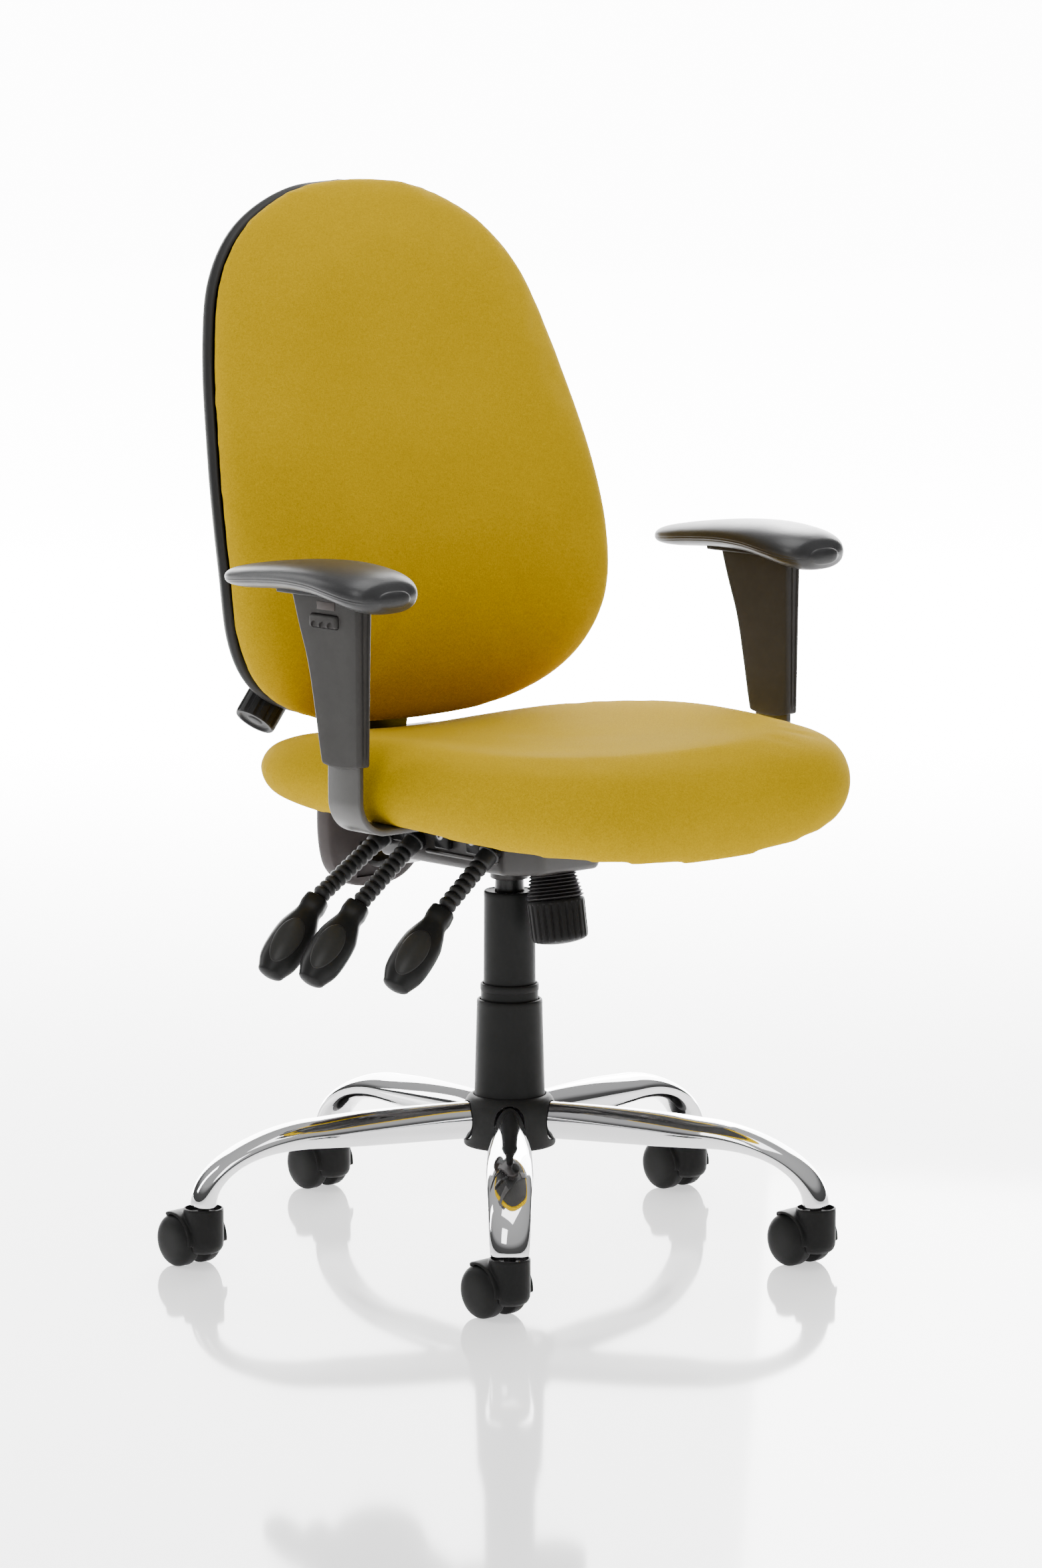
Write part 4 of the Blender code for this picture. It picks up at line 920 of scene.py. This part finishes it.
def handle_ring(u, scale, z):
    """The handle's outline at u, scaled: squared at the neck and oval further out."""
    above, below, half_width = handle_section(u)
    square = along(((0.0, 0.62), (0.16, 0.66), (0.30, 0.95), (1.0, 1.0)), u)
    ring = []
    for cos, sin in circle(64):
        rise = (above if cos > 0 else below) * signed_power(cos, square)
        ring.append((rise * scale, half_width * signed_power(sin, square) * scale, z))
    return ring


def thumb_plate_mesh():
    """Thin oval plate that follows the handle's upper face."""
    middle, half_length, half_width, thick = 0.64, 0.0245, 0.0130, 0.0006
    count = 64

    def ring(share, lift):
        points = []
        for cos, sin in circle(count):
            u = middle + share * half_length * cos / HANDLE_LENGTH
            y = share * half_width * sin * (1.0 - 0.10 * cos)
            above, _, wide = handle_section(u)
            rise = above * math.sqrt(1 - (y / wide) ** 2) + lift
            points.append((rise, y, HANDLE_START + HANDLE_LENGTH * u))
        return points

    rings = [ring(1.0, -0.0015), ring(1.0, 0.0001), ring(0.975, 0.0005)]
    rings += [ring(share, thick) for share in (0.93, 0.75, 0.5, 0.25)]
    rings.append([sum((Vector(point) for point in rings[-1]), Vector()) / count])
    return lofted(rings)


def build_levers():
    handle, plate = handle_mesh(), thumb_plate_mesh()
    bearing = rod(0.0080, -0.012, 0.0)
    stub = rod(0.0044, -0.004, 0.012, 24)
    for name, (length, _) in LEVERS.items():
        body = f"{name}_lever"
        put(f"{name}_lever_sleeve", sleeve_mesh(length), "rubber", body, (f"{name}_lever",),
            lever_frame(name), smooth_deg=50)
        put(f"{name}_lever_root", bearing, "gloss", body, (),
            Matrix.Translation(joint_place(f"{name}_lever_lift")) @ turn(-90, "Y"))
        place = handle_frame(name)
        put(f"{name}_lever_stub", stub, "black_steel", body, (), place)
        put(f"{name}_lever_grip", handle, "handle", body, (f"{name}_lever_handle",), place,
            smooth_deg=60)
        put(f"{name}_lever_plate", plate, "badge", body, (), place, smooth_deg=60)


# ---------------------------------------------------------------- upholstery
def puffed(mesh, held, pressure=3.0, most=0.0030, frames=14):
    """The mesh after a short cloth simulation with air inside.

    The held points stay where they are, and no point moves further than most.
    """
    obj = helper(mesh)
    start = [vertex.co.copy() for vertex in obj.data.vertices]
    group = obj.vertex_groups.new(name="held")
    group.add([i for i, co in enumerate(start) if held(co)], 1.0, "REPLACE")
    cloth = add_modifier(obj, "CLOTH")
    settings = cloth.settings
    settings.quality = 4
    settings.mass = 0.3
    settings.tension_stiffness = settings.compression_stiffness = 30.0
    settings.bending_stiffness = 8.0
    settings.use_pressure = True
    settings.uniform_pressure_force = pressure
    settings.effector_weights.gravity = 0.0
    settings.vertex_group_mass = "held"
    cloth.point_cache.frame_start = 1
    cloth.point_cache.frame_end = frames
    for number in range(1, frames + 1):
        bpy.context.scene.frame_set(number)
    mesh = evaluated(obj)
    bpy.context.scene.frame_set(1)
    for vertex, before in zip(mesh.vertices, start):
        shift = vertex.co - before
        if shift.length > most:
            vertex.co = before + shift.normalized() * most
    return mesh


def upholstered(rings, voxel, held):
    """A cushion's final skin: puffed up, relaxed, and pushed out by what the smoothing took."""
    smoothing, relaxing, given_back = 6, 8, 0.0018
    skin = relaxed(puffed(remeshed(lofted(rings), voxel, smoothing), held), relaxing)
    shifts = [vertex.normal * given_back for vertex in skin.vertices]
    for vertex, shift in zip(skin.vertices, shifts):
        vertex.co += shift
    return modified(skin, "SUBSURF", levels=1, render_levels=1)


def seat_ring(scale, height, front_drop, sag):
    """A rounded square ring whose front sits lower by front_drop and whose rear sags below its sides."""
    power = 3.3
    ring = []
    for cos, sin in circle(96):
        reach = (abs(cos) ** power + abs(sin) ** power) ** (-1 / power)
        front = max(0.0, -sin) ** 2
        rear = max(0.0, sin) ** 2
        ring.append((SEAT_HALF_WIDTH * reach * cos * scale,
                     SEAT_CENTRE_Y + SEAT_HALF_DEPTH * reach * sin * scale,
                     height - front_drop * front - sag * rear))
    return ring


SEAT_PROFILE = (
    (0.855, 0.4615, 0.0, 0.0), (0.855, SEAT_UNDERSIDE, 0.0, 0.0),
    (0.920, SEAT_UNDERSIDE - 0.001, 0.034, 0.0), (0.972, 0.4590, 0.031, 0.0), (1.000, 0.4760, 0.021, 0.0),
    (0.975, 0.4960, 0.012, 0.010), (0.910, 0.5100, 0.008, 0.019), (0.780, 0.5150, 0.005, 0.020),
    (0.450, 0.5070, 0.0, 0.008), (0.0, 0.5020, 0.0, 0.0),
)


def seat_cushion_mesh():
    """Foam slab with rolled edges and a recess below for the board."""
    steps = 5
    columns = numbered(SEAT_PROFILE)
    rings = [[(0.0, SEAT_CENTRE_Y, SEAT_PROFILE[0][1])], seat_ring(*SEAT_PROFILE[0])]
    rings += [seat_ring(*values(columns, i / steps)) for i in range(steps, steps * (len(SEAT_PROFILE) - 1))]
    rings.append([(0.0, SEAT_CENTRE_Y, SEAT_PROFILE[-1][1])])
    return upholstered(rings, 0.0055, lambda co: co.z < SEAT_UNDERSIDE - 0.0025)


def back_outline(count):
    """Points of the back's outline, evenly spaced by length, anticlockwise from the top as seen from -Y."""
    steps = 24
    columns = numbered([Vector(point) for point in BACK_OUTLINE])  # the cloth feels even a Vector's rounding
    fine = [Vector(values(columns, i / steps)) for i in range(steps * (len(BACK_OUTLINE) - 1) + 1)]
    lengths = [0.0]
    for a, b in zip(fine, fine[1:]):
        lengths.append(lengths[-1] + (b - a).length)
    side = []
    i = 0
    for k in range(count // 2 + 1):
        want = lengths[-1] * k / (count // 2)
        while i < len(fine) - 2 and lengths[i + 1] < want:
            i += 1
        side.append(fine[i].lerp(fine[i + 1], (want - lengths[i]) / (lengths[i + 1] - lengths[i])))
    return side + [Vector((-point.x, point.y)) for point in side[-2:0:-1]]


def back_ring(outline, scale, offset):
    """A ring scaled about the back's centre, offset in Y from its leaning middle surface."""
    ring = []
    for point in outline:
        z = BACK_CENTRE_Z + (point.y - BACK_CENTRE_Z) * scale
        ring.append((point.x * scale, along(BACK_CURVE, z) + offset, z))
    return ring


def back_surface(outline, profile, steps):
    """Rings of a profile of (scale, offset) points, made smooth. It ends where the profile does."""
    columns = numbered(profile)
    return [back_ring(outline, *values(columns, i / steps)) for i in range(steps * (len(profile) - 1) + 1)]


def back_cushion_mesh():
    """Foam pad that follows the back's lean, flat behind and rolled at its edge."""
    outline = back_outline(96)
    centre = along(BACK_CURVE, BACK_CENTRE_Z)
    profile = ((0.30, 0.0160), (0.55, 0.0160), (0.945, 0.0155), (0.980, 0.0110), (1.0, -0.0010),
               (0.985, -0.014), (0.94, -0.026), (0.84, -0.034), (0.68, -0.037), (0.40, -0.038),
               (0.06, -0.038))
    rings = [[(0.0, centre + 0.0160, BACK_CENTRE_Z)], *back_surface(outline, profile, 5),
             [(0.0, centre - 0.038, BACK_CENTRE_Z)]]
    return upholstered(rings, 0.0060, lambda co: co.y > along(BACK_CURVE, co.z) + 0.002)


def build_cushions():
    for name, mesh, body, node in (("seat_upholstery", seat_cushion_mesh(), "seat", "seat_cushion"),
                                   ("back_upholstery", back_cushion_mesh(), "backrest", "back_cushion")):
        cushion = put(name, mesh, "fabric", body, (node,), smooth_deg=0)
    paint("board", "plywood", "seat_board", bevel=0.001)
    paint("black_steel", "painted_steel", "seat_plate", bevel=0.0006)


# ---------------------------------------------------------------- back
def knob_frame():
    """Local +Z points out of the lumbar knob, down towards -X."""
    out = joint_axis("lumbar_knob_turn")
    turned_out = Matrix.Rotation(math.atan2(out.x, out.z), 4, "Y")
    return Matrix.Translation(joint_place("lumbar_knob_turn")) @ turned_out


def back_shell_mesh():
    """Thin domed moulding with a rounded rim, a slot below for the bar and a seat for the knob."""
    outline = back_outline(176)
    centre = along(BACK_CURVE, BACK_CENTRE_Z)
    outside = ((0.02, 0.0580), (0.45, 0.0565), (0.77, 0.0500), (0.915, 0.0410), (0.974, 0.0320),
               (0.992, 0.0235), (0.985, 0.0180))
    inside = ((0.967, 0.0182), (0.972, 0.0240), (0.960, 0.0290), (0.901, 0.0380), (0.756, 0.0470),
              (0.436, 0.0535), (0.02, 0.0550))
    rings = [[(0.0, centre + 0.058, BACK_CENTRE_Z)], *back_surface(outline, outside, 5)]
    rings += [back_ring(outline, 0.9790, 0.0169), back_ring(outline, 0.9720, 0.0170)]
    rings += [*back_surface(outline, inside, 4), [(0.0, centre + 0.055, BACK_CENTRE_Z)]]
    slot = block((0.058, 0.030, 0.06), (0, 0.1815, 0.505))
    knob_shaft, knob_clearance, recess = 0.0052, 0.0218, -0.0012
    seat_profile = ((0.0, -0.030), (knob_shaft, -0.030), (knob_shaft, recess), (knob_clearance, recess),
                    (knob_clearance, 0.05), (0.0, 0.05))
    seat = turned(seat_profile, 64)
    return cut(lofted(rings), slot, moved(seat, HOME.inverted() @ knob_frame()))


def lumbar_knob_mesh():
    """Coarse grip with a raised end rim round a shallow dish."""
    length = 0.0290
    near = ((0.5, 0.0, 0.0), (0.93, 0.0, 0.0), (0.97, 0.0, 0.0004), (0.99, 0.0012, 0.0016),
            (1.0, 0.0019, 0.0040))
    far = ((1.0, 0.0019, 0.0045), (0.99, 0.0012, 0.0022), (0.975, 0.0004, 0.0010), (0.94, 0.0, 0.0001),
           (0.88, 0.0, 0.0), (0.80, 0.0, 0.0002), (0.77, 0.0, 0.0012), (0.72, 0.0, 0.0020),
           (0.40, 0.0, 0.0020), (0.34, 0.0, 0.0012), (0.28, 0.0, 0.0010))
    return grip(0.0205, 12, 0.55, (*near, *((share, depth, length - back) for share, depth, back in far)))


def bar_path():
    return rounded_path(((RECLINE_PIN.y, RECLINE_PIN.z), BAR_BEND, BAR_TOP), 0.028)


def back_bar_mesh():
    """Flat bar, bent up from the eye that turns on the recline pin."""
    half = 0.025
    eye = turned(((0.0, -half), (0.0084, -half), (0.0090, -half + 0.0006), (0.0090, half - 0.0006),
                  (0.0084, half), (0.0, half)), 48)
    place = at(0.0, RECLINE_PIN.y, RECLINE_PIN.z) @ ACROSS
    bar = joined(flat_bar(bar_path(), 0.006, 2 * half), moved(eye, place))
    return cut(bar, moved(rod(0.0044, -0.05, 0.05), place))


def spine_cover_mesh():
    """Moulded cover round the bar's bend: a rounded slab, narrower below, with a channel for the bar."""
    lean = math.atan2(BAR_BEND[0] - BAR_TOP[0], BAR_TOP[1] - BAR_BEND[1])
    side = ((0.0, 0.333), (0.030, 0.338), (0.050, 0.352), (0.061, 0.373), (0.068, 0.407), (0.070, 0.450),
            (0.070, 0.484), (0.066, 0.490))
    columns, steps, middle = numbered(side), 6, 0.42
    half = [values(columns, i / steps) for i in range(steps * (len(side) - 1) + 1)]
    outline = half + [(-x, z) for x, z in half[:0:-1]]

    def ring(inset, depth):
        points = []
        for x, z in outline:
            height = middle + (z - middle) * (0.7 + 0.3 * inset)
            y = BAR_BEND[0] - (height - BAR_BEND[1]) * math.tan(lean) + depth
            points.append((x * inset, y, height))
        return points

    stations = ((0.88, -0.0070), (0.955, -0.0066), (0.985, -0.0056), (1.0, -0.0040), (1.0, 0.0085),
                (0.992, 0.0115), (0.970, 0.0140), (0.930, 0.0158), (0.88, 0.0168), (0.80, 0.0172))
    slab = lofted([ring(*station) for station in stations])
    channel_width = 0.0516
    channel = flat_bar(bar_path(), 0.0076, channel_width)
    mouth = block((channel_width, 0.030, 0.034), (0, BAR_BEND[0] - 0.018, BAR_BEND[1] + 0.0140))
    return cut(slab, channel, mouth)


def build_back():
    put("back_moulding", back_shell_mesh(), "shell", "backrest", ("back_shell",),
        smooth_deg=40)
    put("lumbar_grip", lumbar_knob_mesh(), "black", "lumbar_knob", ("lumbar_knob",),
        knob_frame(),
        smooth_deg=28)
    put("back_upright", back_bar_mesh(), "bar", "back_carrier", ("back_bar",), smooth_deg=30)
    put("spine_moulding", spine_cover_mesh(), "spine", "back_carrier", ("spine_cover",))


# ---------------------------------------------------------------- arms
def bracket_mesh():
    """Flat bar that runs out under the seat and turns up into the post."""
    inner_x, z = 0.104, 0.4457
    path = rounded_path(((inner_x, z), (ARM_X, z), (ARM_X, 0.615)), 0.030, 20)
    return moved(flat_bar(path, 0.006, 0.044, 0.0014), at(0, ARM_Y, 0) @ turn(-90, "Z"))


def post_mesh():
    """Tapered sleeve: rounded corners, a rib between two grooves in front and a bowed lower edge."""
    sizes = ((POST_BOTTOM, -0.1066, -0.0527, 0.00725), (0.560, -0.1070, -0.0430, 0.0079),
             (0.600, -0.1072, -0.0345, 0.0084), (0.635, -0.1074, -0.0225, 0.0090),
             (POST_TOP, -0.1076, -0.0145, 0.0095))
    columns, steps, ease, groove = curves(sizes), 44, 0.003, 0.0012
    front_line = ((-0.92, 0.0), (-0.80, groove), (-0.45, groove), (-0.36, 0.0), (0.36, 0.0), (0.45, groove),
                  (0.80, groove), (0.92, 0.0))

    def ring(z, inset):
        front, rear, half_thick = values(columns, z)
        front, rear, half_thick = front + inset, rear - inset, half_thick - inset
        corner = 0.0040 - inset / 2
        points = []
        for cx, cy, start in ((1, 1, 0), (-1, 1, 90), (-1, -1, 180), (1, -1, 270)):
            for step in range(9):
                a = math.radians(start + step * 11.25)
                edge_y = rear - corner if cy > 0 else front + corner
                points.append([cx * (half_thick - corner) + corner * math.cos(a),
                               edge_y + corner * math.sin(a)])
            if (cx, cy) == (-1, -1):
                flat = half_thick - corner
                for share, depth in front_line:
                    points.append([flat * share, front + depth * fade(z)])
            if cx == -cy:
                x = cx * half_thick
                low, high = (rear - corner, front + corner) if cy > 0 else (front + corner, rear - corner)
                for share in (0.2, 0.4, 0.6, 0.8):
                    points.append([x, low + (high - low) * share])
        centre = (front + rear) / 2
        bow = 0.0035 * (1 - ((z - POST_BOTTOM) / 0.02 if z < POST_BOTTOM + 0.02 else 1.0))
        return [(ARM_X + x, y, z + bow * abs((y - centre) / (rear - front) * 2) ** 2.5) for x, y in points]

    def fade(z):
        return max(0.0, min(1.0, (z - POST_BOTTOM - 0.004) / 0.010))

    rings = [ring(POST_BOTTOM, 0.0020), ring(POST_BOTTOM + 0.0004, 0.0008),
             ring(POST_BOTTOM + 0.0014, 0.0002)]
    rise = POST_TOP - POST_BOTTOM - ease
    rings += [ring(POST_BOTTOM + ease + rise * i / steps, 0.0) for i in range(steps + 1)]
    channel = block((0.0072, 0.0452, 0.150), (ARM_X, ARM_Y, 0.6180 - 0.075))
    pocket = rounded_box((0.0120, 0.0392, 0.0132), (ARM_X + 0.0090, *BUTTON[1:]), 0.0030, 4)
    return cut(lofted(rings), channel, pocket)


def button_mesh():
    """A brow-shaped press button with three finger scallops in its lower edge."""
    brow = rounded_box((0.0060, 0.0380, 0.0120), (ARM_X + BUTTON[0], *BUTTON[1:]), 0.0026, 5)
    scoop = rod(0.0046, 0.0, 0.02)
    scoops = [moved(scoop, at(ARM_X + 0.0105, BUTTON[1] + step * 0.0112, BUTTON[2] - 0.0047) @ ACROSS)
              for step in (-1, 0, 1)]
    return cut(brow, *scoops)


def pad_mesh():
    """Arched pad: low at the rear, highest over the post, dropping in front, two seams round its side."""
    stations = (
        (0.0690, 0.6690, 0.0050, 0.0150), (0.0630, 0.6697, 0.0085, 0.0235),
        (0.0430, 0.6715, 0.0110, 0.0300), (0.0080, 0.6750, 0.0125, 0.0350),
        (-0.0350, 0.6780, 0.0138, 0.0400), (-0.0750, 0.6775, 0.0155, 0.0435),
        (-0.1050, 0.6735, 0.0172, 0.0445), (-0.1280, 0.6690, 0.0178, 0.0410),
        (-0.1420, 0.6660, 0.0145, 0.0320), (-0.1475, 0.6645, 0.0080, 0.0190),
    )
    columns, steps, cap = curves(stations), 90, 0.0030
    seam_gap, seam_half_width, seam_depth = 0.0024, 0.0007, 0.00075

    def ring(y, share):
        z, half_height, half_width = values(columns, y)
        first_seam = -0.16 * half_height * share
        points = []
        for cos, sin in circle(160, 0.5):
            x = half_width * signed_power(cos, 0.8) * share
            rise = half_height * signed_power(sin, 0.9) * share
            off_seam = min(abs(rise - first_seam), abs(rise - (first_seam - seam_gap)))
            seam = max(0.0, 1.0 - off_seam / seam_half_width)
            shrink = 1.0 - seam_depth * seam * seam_fade(y) / max(half_width * share, 0.008)
            points.append((ARM_X + x * shrink, y, z + rise))
        return points

    def seam_fade(y):
        return max(0.0, min(1.0, (stations[0][0] - y) / 0.010, (y - stations[-1][0]) / 0.010))

    rear, front = stations[0][0], stations[-1][0]
    caps = [math.pi / 2 * i / 6 for i in range(6)]
    rings = [[(ARM_X, rear + cap, stations[0][1])]]
    rings += [ring(rear + cap * math.cos(a), math.sin(a)) for a in caps[1:]]
    for i in range(steps + 1):
        u = i / steps
        eased = (1 - math.cos(math.pi * u)) / 2
        rings.append(ring(rear + (front - rear) * eased, 1.0))
    rings += [ring(front - cap * math.sin(a), math.cos(a)) for a in caps[1:]]
    rings.append([(ARM_X, front - cap, stations[-1][1])])
    return lofted(rings)


def build_arms():
    plate = rounded_box((0.0400, 0.1000, 0.0090), (ARM_X, -0.0560, POST_TOP + GAP + 0.0045), 0.0016)
    insert = rounded_box((0.0012, 0.0250, 0.0075), (ARM_X + 0.0093, -0.0640, 0.6525), 0.0004, 2)
    shapes = (
        ("bracket_bar", bracket_mesh(), "bracket", "seat", "painted_steel", "bracket", 30),
        ("post_sleeve", post_mesh(), "grey", "arm", "dark_grey_plastic", "post", 40),
        ("button_brow", button_mesh(), "grey", "arm_button", "dark_grey_plastic", "button", 40),
        ("pad_skin", pad_mesh(), "pad", "arm", "arm_pad", "pad", 0),
        ("pad_plate", plate, "black", "arm", "black_plastic", None, 40),
        ("post_insert", insert, "insert", "arm", "dark_grey_plastic", None, 40),
    )
    for side, name in ((-1, "right"), (1, "left")):
        mirror = HOME @ Matrix.Scale(side, 4, (1, 0, 0))
        for piece, mesh, look, body, slot, node, smooth_deg in shapes:
            stands_for = (f"{name}_arm_{node}",) if node else ()
            body = "seat" if body == "seat" else f"{name}_{body}"
            made = put(f"{name}_arm_{piece}", moved(mesh, mirror), look, body, stands_for,
                       Matrix.Identity(4),
                       smooth_deg)


# ---------------------------------------------------------------- studio
STUDIO_AZIMUTH_DEG = -42.0  # the sweep's glowing end, painted light, lies behind the chair as the camera sees it


def area_light(name, size, place, target, power):
    data = bpy.data.lights.new(name, "AREA")
    data.shape = "RECTANGLE"
    data.size, data.size_y = size
    data.energy = power
    light = bpy.data.objects.new(name, data)
    light.location = place
    light.rotation_euler = (Vector(target) - Vector(place)).to_track_quat("-Z", "Y").to_euler()
    bpy.context.scene.collection.objects.link(light)


def build_sweep():
    """Pale glossy floor that curves up into a backdrop. It glows as painted light, faint near the chair and
    far brighter towards its rear.
    """
    sweep = Look("studio sweep", (0.86, 0.86, 0.86), 0.07)
    sweep.set("Emission Color", (1.0, 1.0, 1.0, 1.0))
    split = sweep.nodes.new("ShaderNodeSeparateXYZ")
    sweep.links.new(sweep.place, split.inputs[0])
    # painted light: the emission strength climbs along Y, so the sweep glows and lights the chair, brightest
    # at its rear
    glow = sweep.nodes.new("ShaderNodeMapRange")
    glow.interpolation_type = "SMOOTHSTEP"
    for socket, value in (("From Min", 0.4), ("From Max", 4.6), ("To Min", 0.85), ("To Max", 11.0)):
        glow.inputs[socket].default_value = value
    sweep.links.new(split.outputs["Y"], glow.inputs["Value"])
    sweep.links.new(glow.outputs["Result"], sweep.shader.inputs["Emission Strength"])
    half, radius, rear = 5.0, 2.5, 5.0
    profile = [(-9.0, 0.0)]
    profile += [(rear + radius * math.sin(a), radius - radius * math.cos(a))
                for a in (math.pi / 2 * i / 24 for i in range(25))]
    profile.append((rear + radius, 6.0))
    bm = bmesh.new()
    rows = [[bm.verts.new((x, y, z)) for x in (-half, half)] for y, z in profile]
    for a, b in zip(rows, rows[1:]):
        bm.faces.new((a[0], a[1], b[1], b[0]))
    mesh = bpy.data.meshes.new("studio_sweep")
    bm.to_mesh(mesh)
    bm.free()
    mesh.materials.append(sweep.material)
    mesh.shade_smooth()
    floor = bpy.data.objects.new("studio_sweep", mesh)
    floor.rotation_euler = (0.0, 0.0, math.radians(STUDIO_AZIMUTH_DEG))
    bpy.context.scene.collection.objects.link(floor)


def build_world():
    """Soft grey surroundings, darker below the horizon so that the chrome has something to show."""
    world = bpy.data.worlds.new("studio")
    world.use_nodes = True
    nodes, links = world.node_tree.nodes, world.node_tree.links
    split = nodes.new("ShaderNodeSeparateXYZ")
    links.new(nodes.new("ShaderNodeTexCoord").outputs["Generated"], split.inputs[0])
    sky = nodes.new("ShaderNodeValToRGB")
    stops = ((0.0, 0.10), (0.22, 0.16), (0.42, 0.75), (1.0, 0.95))
    while len(sky.color_ramp.elements) < len(stops):
        sky.color_ramp.elements.new(0.5)
    for element, (height, grey) in zip(sky.color_ramp.elements, stops):
        element.position = height
        element.color = (grey, grey, grey, 1.0)
    links.new(split.outputs["Z"], sky.inputs["Fac"])
    links.new(sky.outputs["Color"], nodes["Background"].inputs["Color"])
    nodes["Background"].inputs["Strength"].default_value = 0.6
    bpy.context.scene.world = world


def build_lights():
    area_light("overhead", (2.4, 1.8), (0.1, -0.3, 2.9), (0.0, 0.0, 0.4), 52.0)
    area_light("key", (1.2, 2.0), (-2.8, -1.4, 2.4), (0.0, 0.0, 0.65), 34.0)
    area_light("rim_right", (0.5, 2.0), (2.2, 1.6, 1.6), (0.0, 0.1, 0.7), 30.0)
    area_light("rim_left", (0.5, 2.0), (-1.6, 2.4, 1.6), (0.0, 0.1, 0.7), 30.0)


def build_camera():
    """A long lens a little above seat height, from the chair's front right."""
    camera = bpy.data.objects.new("camera", bpy.data.cameras.new("camera"))
    camera.data.sensor_width = 36.0
    camera.data.lens = 133.5
    camera.location = (-3.6434, -4.0792, 1.254)
    camera.rotation_euler = (math.radians(81.57), 0.0, math.radians(-42.02))
    bpy.context.scene.collection.objects.link(camera)
    bpy.context.scene.camera = camera


build_base()
build_lift()
build_mechanism()
build_levers()
build_cushions()
build_back()
build_arms()
build_sweep()
build_world()
build_lights()
build_camera()
